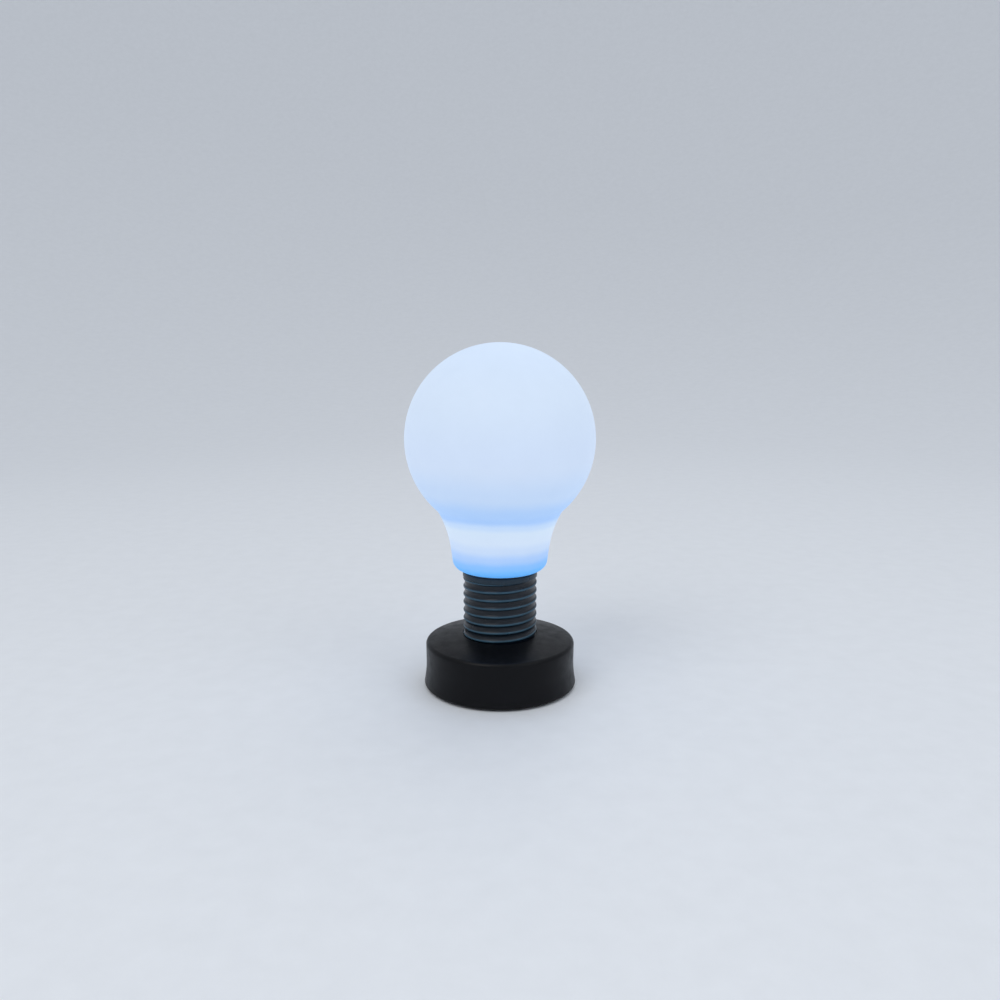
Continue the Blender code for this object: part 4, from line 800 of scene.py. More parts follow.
def makePlate():
    s = plateSizes
    radius = s["radius"]
    bm = turned((0.0, s["bottom"]), [(radius - 2.2 * mm, s["bottom"]),
                                     (radius - 2.0 * mm, s["bottom"] + 0.25 * mm),
                                     (radius - 1.5 * mm, s["bottom"] + 0.25 * mm),
                                     (radius - 1.3 * mm, s["bottom"]),
                                     (radius - 0.4 * mm, s["bottom"]),
                                     (radius, s["bottom"] + 0.4 * mm),
                                     (radius, s["top"] - 0.2 * mm),
                                     (radius - 0.2 * mm, s["top"]), (0.0, s["top"])], 144)
    outerX, outerY = s["trayX"] + s["trayWall"], s["trayY"] + s["trayWall"]
    trayTop = s["trayTop"]
    tray = slab((-outerX, -outerY, s["bottom"] + 1 * mm), (outerX, outerY, trayTop), 1.0 * mm,
                segments=3)
    bm = combine(bm, tray, "UNION")
    posts = [put(rod(s["post"], s["postTop"] - s["postFoot"], 40), side * s["postX"],
                 s["postY"], (s["postTop"] + s["postFoot"]) / 2) for side in (-1, 1)]
    bm = combine(bm, gather(*posts), "UNION")
    # low ribs stiffen the plate between the tray and the wall
    ribs = []
    for x in s["ribs"]:
        reach = sqrt((radius - 1.5 * mm) ** 2 - x ** 2)
        ribs.append(slab((x - s["ribThick"] / 2, -reach, s["top"] - 0.5 * mm),
                         (x + s["ribThick"] / 2, -29.5 * mm, s["ribTop"])))
    bm = combine(bm, gather(*ribs), "UNION")
    bm = combine(bm, slab((-s["trayX"], -s["trayY"], -1 * mm),
                          (s["trayX"], s["trayY"], trayTop - s["trayWall"])))
    edgeY = -s["doorY"] - s["gap"]
    recess = slab((-s["doorX"] - s["gap"], edgeY, -1 * mm),
                  (s["doorX"] + s["gap"], -edgeY, s["bottom"] + s["doorThick"] + s["gap"]),
                  s["corner"], segments=8)
    bm = combine(bm, recess)
    bm = combine(bm, slab((-s["doorX"] - s["gap"], edgeY - s["swingRoom"], -1 * mm),
                          (s["doorX"] + s["gap"], edgeY + s["corner"],
                           s["bottom"] + s["doorThick"] + s["gap"])))
    half = s["knuckleEnd"] + s["gap"]
    bm = combine(bm, slab((-half, s["hingeY"] - s["knuckle"] - s["gap"], -1 * mm),
                          (half, -outerY - 0.2 * mm, s["top"] + 1 * mm)))
    scoop = bmesh.new()
    bmesh.ops.create_uvsphere(scoop, u_segments=48, v_segments=24, radius=s["scoop"])
    bmesh.ops.scale(scoop, vec=(1.0, 1.0, 0.28), verts=scoop.verts)
    bm = combine(bm, put(scoop, 0, s["doorY"], s["bottom"] - 0.05 * mm))
    web = slab((-s["knuckleMiddle"], s["hingeY"] - s["knuckle"] - 2 * mm,
                s["hingeZ"] - 0.6 * mm),
               (s["knuckleMiddle"], s["hingeY"] - s["pin"] - 0.6 * mm, s["top"]))
    bm = combine(bm, hingeTube(-s["knuckleMiddle"], s["knuckleMiddle"]), "UNION")
    bm = combine(bm, web, "UNION")
    holes = []
    for x in (-baseSizes["screwX"], baseSizes["screwX"]):
        for y in (-baseSizes["screwY"], baseSizes["screwY"]):
            holes.append(put(rod(s["screwHead"], 3.8 * mm, 40), x, y, s["bottom"] - 0.1 * mm))
            holes.append(put(rod(s["screwHole"], 8 * mm, 32), x, y, s["top"]))
    for x, y in ((s["footX"], 0), (-s["footX"], 0), (0, s["footY"]), (0, -s["footY"])):
        holes.append(put(rod(s["foot"] + s["gap"], 2 * mm, 48), x, y, 1.3 * mm))
    for side in (-1, 1):
        holes.append(put(rod(s["screwHole"], 5.5 * mm, 32), side * s["postX"], s["postY"],
                         7.15 * mm))
    for hole in holes:
        bm = combine(bm, hole)
    for name in ("contact_positive", "contact_negative"):
        middle = placeOf(name)[0]
        end = 1 if middle.x > 0 else -1
        slot = slab((-2 * mm, -1.3 * mm, -0.5 * mm), (2 * mm, 1.3 * mm, 0.5 * mm))
        bm = combine(bm, put(slot, end * (outerX - 0.4 * mm), middle.y, s["tabZ"]))
    piece("underside_plate", bm, undersideAbs, "base_plate")


doorGrip = {"grooves": 5, "first": 3.2 * mm, "pitch": 1.7 * mm, "radius": 0.55 * mm,
            "width": 15 * mm, "taper": 1.2 * mm, "arrow": 2.6 * mm, "arrowY": 9.5 * mm}


def makeDoor():
    s = plateSizes
    low, high = s["bottom"], s["bottom"] + s["doorThick"]
    bm = slab((-s["doorX"], -s["doorY"], low), (s["doorX"], s["doorY"], high), s["corner"],
              0.18 * mm, 8)
    for side in (-1, 1):
        inner, outer = s["knuckleMiddle"] + s["gap"], s["knuckleEnd"]
        first, last = sorted((side * inner, side * outer))
        web = slab((first, s["hingeY"] + s["pin"] + 2 * s["gap"], low),
                   (last, -s["doorY"] + 2 * mm, high))
        bm = combine(bm, hingeTube(first, last), "UNION")
        bm = combine(bm, web, "UNION")
    # finger grooves near the free edge, an arrow that points to it, and two recessed panels
    grip = doorGrip
    for index in range(grip["grooves"]):
        y = s["doorY"] - grip["first"] - index * grip["pitch"]
        width = grip["width"] - index * grip["taper"]
        groove = put(rod(grip["radius"], width, 16), tilt=("Y", pi / 2))
        bmesh.ops.scale(groove, vec=(1, 1, 0.85), verts=groove.verts)
        bm = combine(bm, put(groove, 0, y, low))
    arrow = bmesh.new()
    bmesh.ops.create_circle(arrow, cap_ends=True, segments=3, radius=grip["arrow"])
    raised = bmesh.ops.extrude_face_region(arrow, geom=arrow.faces[:])
    lifted = [v for v in raised["geom"] if isinstance(v, bmesh.types.BMVert)]
    bmesh.ops.translate(arrow, vec=(0, 0, 1 * mm), verts=lifted)
    bmesh.ops.recalc_face_normals(arrow, faces=arrow.faces)
    bm = combine(bm, put(arrow, 0, grip["arrowY"], low - 0.75 * mm))
    for side in (-1, 1):
        panel = slab((-10.5 * mm, -14.5 * mm, -0.3 * mm), (10.5 * mm, 14.5 * mm, 0.3 * mm),
                     2.0 * mm, segments=6)
        bm = combine(bm, put(panel, side * 15.5 * mm, -3.5 * mm, low - 0.1 * mm))
    piece("battery_door_leaf", bm, doorAbs, "battery_door", body="door")


def makePin():
    middle, size = placeOf("door_pin")[:2]
    s = plateSizes
    half = size.x / 2
    bm = turned((0.0, -half), [(s["pin"] - 0.2 * mm, -half), (s["pin"], -half + 0.2 * mm),
                               (s["pin"], half - 0.2 * mm), (s["pin"] - 0.2 * mm, half),
                               (0.0, half)], 32)
    put(bm, tilt=("Y", pi / 2))
    piece("hinge_pin", put(bm, *middle), pinSteel, "door_pin")


def makeFeet():
    for index in range(1, 5):
        node = f"rubber_foot_{index}"
        middle, _, _, high = placeOf(node)
        r = plateSizes["foot"]
        bm = turned((0.0, 0.35 * mm), [(0.9 * mm, 0.35 * mm), (1.1 * mm, 0.0), (2.0 * mm, 0.0),
                                       (2.15 * mm, 0.2 * mm), (2.3 * mm, 0.0),
                                       (r - 0.6 * mm, 0.0), (r - 0.6 * mm, 0.6 * mm, 90.0, 5),
                                       (r, high.z), (0.0, high.z)], 48)
        piece(f"foot_pad_{index}", put(bm, middle.x, middle.y), footRubber, node)


makePlate()
makeDoor()
makePin()
makeFeet()
print("underside ready")


# button and charging inlet

buttonSizes = {"radius": 3.2 * mm, "flange": 4.2 * mm, "flangeThick": 1.2 * mm, "proud": 0.7 * mm,
               "signInner": 1.05 * mm, "signOuter": 1.40 * mm, "signFloor": 0.4 * mm}
inletSizes = {"width": 9.0 * mm, "height": 3.2 * mm, "depth": 7.4 * mm, "setback": 1.1 * mm,
              "wall": 0.3 * mm}


def makeButton():
    s = buttonSizes
    middle = placeOf("power_button")[0]
    outer = baseSizes["side"] + s["proud"]
    inner = baseSizes["side"] - baseSizes["wall"]
    face = sqrt(inner ** 2 - s["flange"] ** 2) - 0.3 * mm
    back = face - s["flangeThick"]
    bm = turned((0.0, back), [(s["flange"] - 0.15 * mm, back), (s["flange"], back + 0.15 * mm),
                              (s["flange"], face - 0.15 * mm), (s["flange"] - 0.15 * mm, face),
                              (s["radius"], face), (s["radius"], outer - 0.5 * mm),
                              (s["radius"] - 0.5 * mm, outer - 0.5 * mm, 90.0, 6),
                              (s["radius"] - 0.9 * mm, outer - 0.06 * mm),
                              (s["radius"] - 1.6 * mm, outer - 0.16 * mm),
                              (0.8 * mm, outer - 0.24 * mm), (0.0, outer - 0.25 * mm)], 72)
    # the on-off sign: a broken ring and a bar, sunk a little
    floor, above = outer - s["signFloor"], outer + 0.3 * mm
    ring = turned((s["signInner"], floor), [(s["signOuter"], floor), (s["signOuter"], above),
                                            (s["signInner"], above)], 48, closed=True)
    gap = slab((-2.0 * mm, -0.5 * mm, outer - 0.6 * mm), (0.0, 0.5 * mm, outer + 0.6 * mm))
    ring = combine(ring, gap)
    bar = slab((-1.55 * mm, -0.17 * mm, floor), (-0.35 * mm, 0.17 * mm, above))
    bm = combine(bm, ring)
    bm = combine(bm, bar)
    put(bm, tilt=("Y", pi / 2))
    turn = radians(baseSizes["buttonAngle"])
    piece("button_cap", put(bm, 0, 0, middle.z, turn), buttonAbs, "power_button",
          30.0, "button")


def tint(bm, index):
    for face in bm.faces:
        face.material_index = index
    return bm


def makeInlet():
    s = inletSizes
    middle = placeOf("usb_socket")[0]
    face = baseSizes["side"] - s["setback"]
    shell = roundedBox((s["height"], s["width"], s["depth"]), 0.48 * s["height"], 0.0, 10)
    hollow = roundedBox((s["height"] - 2 * s["wall"], s["width"] - 2 * s["wall"], s["depth"]),
                        0.47 * (s["height"] - 2 * s["wall"]), 0.0, 10)
    shell = tint(combine(shell, put(hollow, z=1.0 * mm)), 0)
    insert = tint(put(roundedBox((0.7 * mm, 0.72 * s["width"], s["depth"] - 1.6 * mm), 0.0,
                                 0.12 * mm), z=-0.2 * mm), 1)
    collar = tint(put(roundedBox((s["height"] - 0.7 * mm, s["width"] - 0.8 * mm, 1.4 * mm),
                                 1.1 * mm, 0.0, 8), z=-s["depth"] / 2 + 1.4 * mm), 1)
    strips = []
    for side in (-1, 1):
        for index in range(8):
            strip = roundedBox((0.06 * mm, 0.30 * mm, s["depth"] - 2.6 * mm))
            put(strip, side * 0.36 * mm, (index - 3.5) * 0.68 * mm, 0.1 * mm)
            strips.append(tint(strip, 2))
    bm = gather(shell, insert, collar, *strips)
    put(bm, tilt=("Y", pi / 2))
    turn = radians(baseSizes["socketAngle"])
    radius = face - s["depth"] / 2
    put(bm, radius * cos(turn), radius * sin(turn), middle.z, turn)
    piece("charging_inlet", bm, [socketSteel, insertBlack, goldPlate], "usb_socket",
          40.0)


makeButton()
makeInlet()
print("controls ready")


# screws

screwSizes = {"head": 2.2 * mm, "headHeight": 1.3 * mm, "root": 0.84 * mm, "crest": 1.1 * mm,
              "pitch": 0.8 * mm, "arm": 1.36 * mm, "slot": 0.62 * mm}
screwShapes = {}


def screwShape(length):
    key = round(length / mm, 2)
    if key in screwShapes:
        return screwShapes[key].copy()
    s = screwSizes
    head = s["headHeight"]
    bm = turned((0.0, 0.0), [(0.9 * mm, 0.02 * mm), (1.5 * mm, 0.12 * mm), (1.95 * mm, 0.36 * mm),
                             (s["head"], 0.75 * mm), (s["head"], head - 0.1 * mm),
                             (s["head"] - 0.1 * mm, head), (s["root"], head),
                             (s["root"], length - 1.2 * mm), (0.35 * mm, length),
                             (0.0, length)], 40)
    thread = bmesh.new()
    run = length - head - 1.6 * mm
    turns = int(run / s["pitch"])
    start = head + 0.5 * mm
    rings = 20
    drawProfile(thread, (s["root"] - 0.1 * mm, start),
                [(s["crest"], start + 0.26 * mm), (s["crest"], start + 0.36 * mm),
                 (s["root"] - 0.1 * mm, start + 0.62 * mm)], closed=True)
    bmesh.ops.spin(thread, geom=thread.verts[:] + thread.edges[:], cent=(0, 0, 0),
                   axis=(0, 0, 1), dvec=(0, 0, s["pitch"] / rings), angle=2 * pi * turns,
                   steps=rings * turns)
    closeHoles(thread)
    bm = combine(bm, thread, "UNION")
    for turn in (0.0, pi / 2):
        cross = roundedBox((2 * s["arm"], s["slot"], 1.5 * mm))
        for vert in cross.verts:
            if vert.co.z > 0:
                vert.co.x *= 0.45
        put(cross, 0, 0, 0.15 * mm, turn)
        bm = combine(bm, cross)
    screwShapes[key] = bm.copy()
    return bm


def makeScrew(node, name, material, up):
    middle, size, low, high = placeOf(node)
    bm = screwShape(size.z)
    turn = radians(37.0 * (len(name) + int(name[-1]) * 3))
    if up:
        put(bm, middle.x, middle.y, low.z, turn)
    else:
        put(bm, middle.x, middle.y, high.z, turn, ("X", pi))
    piece(name, bm, material, node, 30.0)


for number in range(1, 5):
    makeScrew(f"base_screw_{number}", f"plate_screw_{number}", blackScrew, True)
for number in range(1, 4):
    makeScrew(f"neck_screw_{number}", f"neck_fixing_screw_{number}", zincScrew, True)
    makeScrew(f"mount_screw_{number}", f"mount_fixing_screw_{number}", zincScrew,
              False)
for number in range(1, 3):
    makeScrew(f"led_screw_{number}", f"led_fixing_screw_{number}", zincScrew, False)
    makeScrew(f"board_screw_{number}", f"board_fixing_screw_{number}", zincScrew,
              False)
print("screws ready")


# shade mount and light engine

mountSizes = {"radius": 20.2 * mm, "wall": 2.4 * mm, "floor": 2.5 * mm, "port": 5.2 * mm,
              "lugReach": 1.3 * mm, "lugHeight": 2.0 * mm, "lugWidth": 22.0,
              "boss": 2.7 * mm, "bossX": 15.0 * mm, "hole": 1.4 * mm}
engineSizes = {"spreader": 19.2 * mm, "spreaderPort": 7.0 * mm, "board": 18.5 * mm,
               "circle": 10.8 * mm, "package": 5.0 * mm, "count": 6}


def makeMount():
    s = mountSizes
    low, high = placeOf("shade_mount")[2:]
    radius, inner = s["radius"], s["radius"] - s["wall"]
    floor = low.z + s["floor"]
    bm = turned((s["port"], low.z), [(radius - 0.3 * mm, low.z), (radius, low.z + 0.3 * mm),
                                     (radius, high.z - 0.3 * mm), (radius - 0.3 * mm, high.z),
                                     (inner + 0.3 * mm, high.z), (inner, high.z - 0.3 * mm),
                                     (inner, floor), (s["port"], floor)], 120, closed=True)
    pillars = [put(rod(s["boss"], high.z - 0.05 * mm - low.z - 1 * mm, 40), side * s["bossX"], 0,
                   (high.z - 0.05 * mm + low.z + 1 * mm) / 2) for side in (-1, 1)]
    bm = combine(bm, gather(*pillars), "UNION")
    # four webs between the wall and the port, clear of the screw pillars
    for index in (1, 2, 4, 5):
        turn = radians(60.0 * index)
        web = slab((s["port"] + 1.0 * mm, -0.5 * mm, floor - 0.5 * mm),
                   (inner + 0.8 * mm, 0.5 * mm, floor + 1.6 * mm))
        bm = combine(bm, put(web, turn=turn), "UNION")
    lugBottom = placeOf("shade")[2].z + shadeSizes["wall"] + 0.3 * mm
    for index in range(3):
        turn = radians(120.0 * index)
        lug = bmesh.new()
        half = radians(s["lugWidth"]) / 2
        drawProfile(lug, (radius - 1.0 * mm, lugBottom),
                    [(radius + s["lugReach"] - 0.25 * mm, lugBottom),
                     (radius + s["lugReach"], lugBottom + 0.25 * mm),
                     (radius + s["lugReach"], lugBottom + s["lugHeight"] - 0.4 * mm),
                     (radius + s["lugReach"] - 0.4 * mm, lugBottom + s["lugHeight"]),
                     (radius - 1.0 * mm, lugBottom + s["lugHeight"])], closed=True)
        bmesh.ops.spin(lug, geom=lug.verts[:] + lug.edges[:], cent=(0, 0, 0), axis=(0, 0, 1),
                       angle=2 * half, steps=10)
        closeHoles(lug)
        bm = combine(bm, put(lug, turn=turn - half), "UNION")
    holes = [put(rod(s["hole"], 8 * mm, 24), neckSizes["columnCircle"] * cos(angle),
                 neckSizes["columnCircle"] * sin(angle), low.z + 1 * mm)
             for angle in columnAngles]
    holes += [put(rod(s["hole"], 5.2 * mm, 24), side * s["bossX"], 0, low.z + 3.9 * mm)
              for side in (-1, 1)]
    for hole in holes:
        bm = combine(bm, hole)
    piece("bayonet_mount", bm, whitePolymer, "shade_mount")


def makeSpreader():
    s = engineSizes
    middle, _, low, high = placeOf("heat_spreader")
    radius, port = s["spreader"], s["spreaderPort"]
    profile = [(radius - 0.5 * mm, low.z), (radius, low.z + 0.5 * mm)]
    for index in range(3):                     # cooling grooves round the edge
        groove = low.z + 0.75 * mm + index * 0.55 * mm
        profile += [(radius, groove), (radius - 0.35 * mm, groove + 0.08 * mm),
                    (radius - 0.35 * mm, groove + 0.28 * mm), (radius, groove + 0.36 * mm)]
    profile += [(radius, high.z - 0.3 * mm), (radius - 0.3 * mm, high.z),
                (port + 0.3 * mm, high.z), (port, high.z - 0.3 * mm), (port, low.z + 0.3 * mm)]
    bm = turned((port + 0.3 * mm, low.z), profile, 120, closed=True)
    for side in (-1, 1):
        bm = combine(bm, put(rod(mountSizes["hole"], 8 * mm, 32), side * mountSizes["bossX"], 0,
                             middle.z))
    piece("aluminium_spreader", bm, spreaderAluminium, "heat_spreader")


def makeLedBoard():
    s = engineSizes
    middle, size, _, high = placeOf("led_board")
    bm = rod(s["board"], size.z, 120, 0.12 * mm)
    put(bm, 0, 0, middle.z)
    for side in (-1, 1):
        bm = combine(bm, put(rod(mountSizes["hole"], 6 * mm, 32), side * mountSizes["bossX"], 0,
                             middle.z))
    tint(bm, 0)
    extras = []
    for index in range(s["count"]):            # solder lands on both sides of each package
        turn = (index + 0.5) * 2 * pi / s["count"]
        for side in (-1, 1):
            for row in (-1, 0, 1):
                land = roundedBox((0.9 * mm, 1.1 * mm, 0.10 * mm), 0.15 * mm)
                put(land, s["circle"] + row * 1.6 * mm, side * 2.75 * mm, 0)
                extras.append(tint(put(land, 0, 0, high.z + 0.04 * mm, turn), 1))
        part = roundedBox((1.0 * mm, 0.5 * mm, 0.35 * mm), 0.0, 0.04 * mm)
        put(part, 5.0 * mm, 0.0, 0)
        extras.append(tint(put(part, 0, 0, high.z + 0.17 * mm, turn), 2))
    ring = turned((16.9 * mm, high.z), [(17.3 * mm, high.z), (17.3 * mm, high.z + 0.05 * mm),
                                        (16.9 * mm, high.z + 0.05 * mm)], 96, closed=True)
    extras.append(tint(ring, 1))
    piece("led_carrier_board", gather(bm, *extras), [whiteBoard, copperTin, chipEpoxy],
          "led_board")


def makeLeds():
    s = engineSizes
    half = s["package"] / 2
    for index in range(s["count"]):
        node = f"led_{index + 1}"
        middle, size = placeOf(node)[:2]
        body = roundedBox((s["package"] - 0.4 * mm, s["package"] - 0.4 * mm, size.z), 0.25 * mm,
                          0.08 * mm)
        well = turned((0.0, 0.14 * mm), [(1.85 * mm, 0.14 * mm), (2.05 * mm, 1.2 * mm),
                                         (0.0, 1.2 * mm)], 40)
        body = tint(combine(body, well), 0)
        fill = tint(turned((0.0, 0.16 * mm), [(1.83 * mm, 0.16 * mm), (2.0 * mm, 0.66 * mm),
                                              (1.2 * mm, 0.60 * mm), (0.0, 0.58 * mm)], 40), 1)
        corner = tint(put(roundedBox((0.5 * mm, 0.5 * mm, 0.06 * mm)), 1.95 * mm, 1.95 * mm,
                          size.z / 2 - 0.01 * mm, pi / 4), 2)
        legs = []
        for side in (-1, 1):
            for row in (-1, 0, 1):
                leg = roundedBox((0.8 * mm, 0.5 * mm, 0.7 * mm), 0.0, 0.06 * mm)
                legs.append(tint(put(leg, row * 1.6 * mm, side * (half - 0.25 * mm),
                                     -size.z / 2 + 0.35 * mm), 2))
        bm = gather(body, fill, corner, *legs)
        turn = (index + 0.5) * 2 * pi / s["count"]
        put(bm, s["circle"], 0, 0)
        put(bm, 0, 0, middle.z, turn)
        piece(f"led_package_{index + 1}", bm, [ledPackage, ledGlow, copperTin], node)


def makePlug(node, name, facing, rows=5):
    middle, size = placeOf(node)[:2]
    bm = roundedBox(size, 0.3 * mm, 0.12 * mm)
    columns = [(row - (rows - 1) / 2) * size.x / (rows + 0.6) for row in range(rows)]
    for x in columns:                          # latch windows along one face
        window = roundedBox((size.x / (rows + 1) * 0.55, 0.5 * mm, size.z * 0.45))
        bm = combine(bm, put(window, x, facing * size.y / 2))
    tint(bm, 0)
    pins = [tint(put(roundedBox((0.45 * mm, 0.35 * mm, size.z * 0.4)), x,
                     facing * (size.y / 2 - 0.3 * mm)), 1) for x in columns]
    bm = gather(bm, *pins)
    piece(name, put(bm, *middle), [connectorNylon, copperTin], node)


makeMount()
makeSpreader()
makeLedBoard()
makeLeds()
makePlug("led_header", "light_header", 1)
makePlug("cable_plug_upper", "cable_plug_top", -1)
makePlug("cable_plug_lower", "cable_plug_base", -1)
makePlug("board_header", "control_header", 1)
print("light engine ready")


# cells, contacts, springs and wires

def fromNode(node):
    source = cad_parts[node].data
    bm = bmesh.new()
    bm.from_mesh(source)
    bmesh.ops.transform(bm, matrix=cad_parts[node].matrix_world, verts=bm.verts)
    bmesh.ops.remove_doubles(bm, verts=bm.verts, dist=0.00001)
    bmesh.ops.join_triangles(bm, faces=bm.faces, angle_face_threshold=radians(25.0),
                             angle_shape_threshold=radians(60.0))
    return bm


def smoothed(node, name, material):
    thing = piece(name, fromNode(node), material, node, 180.0)
    rounder = thing.modifiers.new("rounder", "SUBSURF")
    rounder.levels = rounder.render_levels = 2


cellSizes = {"radius": 7.1 * mm, "nub": 2.7 * mm, "nubHeight": 1.2 * mm, "band": 12.0 * mm}


def makeCells():
    s = cellSizes
    for index in range(3):
        node = f"battery_cell_{index + 1}"
        middle, size = placeOf(node)[:2]
        sense = 1 if index % 2 == 0 else -1
        length, r = size.x, s["radius"]
        body = length - s["nubHeight"]
        bm = turned((0.0, 0.15 * mm), [(4.2 * mm, 0.15 * mm), (4.6 * mm, 0.0), (5.6 * mm, 0.0),
                                       (6.0 * mm, 0.25 * mm), (6.5 * mm, 0.25 * mm),
                                       (r - 0.35 * mm, 0.0), (r - 0.05 * mm, 0.3 * mm),
                                       (r, 0.5 * mm), (r, s["band"]), (r, body - 2.6 * mm),
                                       (r, body - 0.6 * mm), (r - 0.12 * mm, body - 0.2 * mm),
                                       (r - 0.6 * mm, body), (6.2 * mm, body - 0.1 * mm),
                                       (6.0 * mm, body - 0.35 * mm), (3.4 * mm, body - 0.35 * mm),
                                       (s["nub"] + 0.2 * mm, body - 0.1 * mm),
                                       (s["nub"], body + 0.2 * mm),
                                       (s["nub"], length - 0.3 * mm),
                                       (s["nub"] - 0.3 * mm, length - 0.3 * mm, 90.0, 4),
                                       (0.0, length)], 64)
        for face in bm.faces:                  # bare metal ends, a coloured band, the wrap
            spot = face.calc_center_median()
            if spot.xy.length < r - 0.8 * mm or spot.z < 0.3 * mm:
                face.material_index = 1
            else:
                face.material_index = 2 if spot.z < s["band"] else 0
        place = (Matrix.Translation((middle.x - sense * length / 2, middle.y, middle.z))
                 @ Matrix.Rotation(sense * pi / 2, 4, "Y"))
        bmesh.ops.transform(bm, matrix=place, verts=bm.verts)
        piece(f"cell_{index + 1}", bm, [cellWrap, cellMetal, cellBand], node, 30.0)


contactSizes = {"thick": 0.4 * mm, "pad": 9.0 * mm, "inner": 27.15 * mm, "corner": 1.2 * mm,
                "tab": 2.0 * mm, "eye": 0.5 * mm, "eyeBack": 0.9 * mm}


def makeContacts():
    thick, pad, inner = (contactSizes[key] for key in ("thick", "pad", "inner"))
    for node, name in (("contact_positive", "contact_plate_plus"),
                       ("contact_negative", "contact_plate_minus"),
                       ("contact_bridge_1", "contact_link_1"),
                       ("contact_bridge_2", "contact_link_2")):
        middle, size, low, high = placeOf(node)
        end = 1 if middle.x > 0 else -1
        wide = size.y if "bridge" in node else pad
        bm = roundedBox((thick, wide, pad))
        corners = [e for e in bm.edges if abs((e.verts[0].co - e.verts[1].co).x) > 1e-7]
        bevel(bm, corners, contactSizes["corner"], 5)
        put(bm, end * (inner + thick / 2), middle.y, placeOf("battery_cell_1")[0].z)
        if "bridge" not in node:
            reach = high.x if end > 0 else -low.x
            tab = roundedBox((reach - inner - thick / 2, contactSizes["tab"], thick))
            put(tab, end * (reach + inner + thick / 2) / 2, middle.y, plateSizes["tabZ"])
            bm = combine(bm, tab, "UNION")
            eye = put(rod(contactSizes["eye"], 3 * mm, 24),
                      end * (reach - contactSizes["eyeBack"]), middle.y, plateSizes["tabZ"])
            bm = combine(bm, eye)
        piece(name, bm, nickelSheet, node)


makeCells()
makeContacts()
for number in range(1, 4):
    smoothed(f"contact_spring_{number}", f"cell_spring_{number}", nickelWire)
smoothed("led_cable", "neck_cable", cableSheath)
smoothed("battery_lead_plus", "lead_plus", redLead)
smoothed("battery_lead_minus", "lead_minus", blackLead)
print("battery pack ready")


# control electronics

boardSizes = {"radius": 38.55 * mm, "front": 24.9 * mm, "half": 25.5 * mm, "hole": 1.4 * mm,
              "screwX": 21.5 * mm, "screwY": 28.2 * mm,
              "small": [(-6.0, 30.6, 0), (-6.0, 32.4, 0), (6.2, 26.4, 1), (7.9, 26.4, 1),
                        (-16.6, 31.6, 0), (-17.4, 26.3, 1), (17.6, 31.0, 0), (17.6, 32.6, 0),
                        (-8.2, 26.2, 1), (4.9, 37.2, 0)]}


def makeControlBoard():
    s = boardSizes
    middle, size, _, high = placeOf("control_board")
    bm = put(rod(s["radius"], size.z, 144), 0, 0, middle.z)
    for spot, normal in (((s["half"], 0, 0), (1, 0, 0)), ((-s["half"], 0, 0), (-1, 0, 0)),
                         ((0, s["front"], 0), (0, -1, 0))):
        whole = bm.verts[:] + bm.edges[:] + bm.faces[:]
        bmesh.ops.bisect_plane(bm, geom=whole, dist=1e-7, plane_co=spot, plane_no=normal,
                               clear_outer=True)
        bmesh.ops.holes_fill(bm, edges=[e for e in bm.edges if e.is_boundary], sides=0)
    bmesh.ops.recalc_face_normals(bm, faces=bm.faces)
    for side in (-1, 1):
        bm = combine(bm, put(rod(s["hole"], 5 * mm, 32), side * s["screwX"], s["screwY"],
                             middle.z))
    tint(bm, 0)
    extras = []
    for side in (-1, 1):                       # plated rings round the screw holes, and lead lands
        ring = turned((1.5 * mm, 0.0), [(2.5 * mm, 0.0), (2.5 * mm, 0.05 * mm),
                                        (1.5 * mm, 0.05 * mm)], 40, closed=True)
        extras.append(tint(put(ring, side * s["screwX"], s["screwY"], high.z), 1))
        land = roundedBox((2.2 * mm, 1.6 * mm, 0.10 * mm), 0.4 * mm)
        extras.append(tint(put(land, side * 15.4 * mm, s["screwY"], high.z + 0.04 * mm), 1))
    for index, (x, y, turn) in enumerate(s["small"]):
        body = tint(roundedBox((1.0 * mm, 0.8 * mm, 0.45 * mm), 0.0, 0.05 * mm),
                    2 if index % 2 else 3)
        caps = [tint(put(roundedBox((0.3 * mm, 0.84 * mm, 0.47 * mm), 0.0, 0.04 * mm),
                         side * 0.6 * mm), 1) for side in (-1, 1)]
        part = gather(body, *caps)
        extras.append(put(part, x * mm, y * mm, high.z + 0.24 * mm, turn * pi / 2))
    piece("control_circuit_board", gather(bm, *extras),
          [greenBoard, copperTin, chipEpoxy, tanCeramic], "control_board")


def makeChip():
    middle, size = placeOf("controller_chip")[:2]
    body = tint(roundedBox((size.x - 0.5 * mm, size.y - 0.5 * mm, size.z - 0.1 * mm), 0.12 * mm,
                           0.06 * mm), 0)
    dot = put(rod(0.3 * mm, 0.3 * mm, 20), -1.5 * mm, 1.5 * mm, size.z / 2 + 0.02 * mm)
    body = tint(combine(body, dot), 0)
    legs = []
    for side in range(4):
        for row in range(6):
            leg = roundedBox((0.6 * mm, 0.22 * mm, 0.14 * mm), 0.0, 0.03 * mm)
            put(leg, size.x / 2 - 0.3 * mm, (row - 2.5) * 0.62 * mm, -size.z / 2 + 0.1 * mm)
            legs.append(tint(put(leg, turn=side * pi / 2), 1))
    piece("controller_package", put(gather(body, *legs), *middle), [chipEpoxy, copperTin],
          "controller_chip")


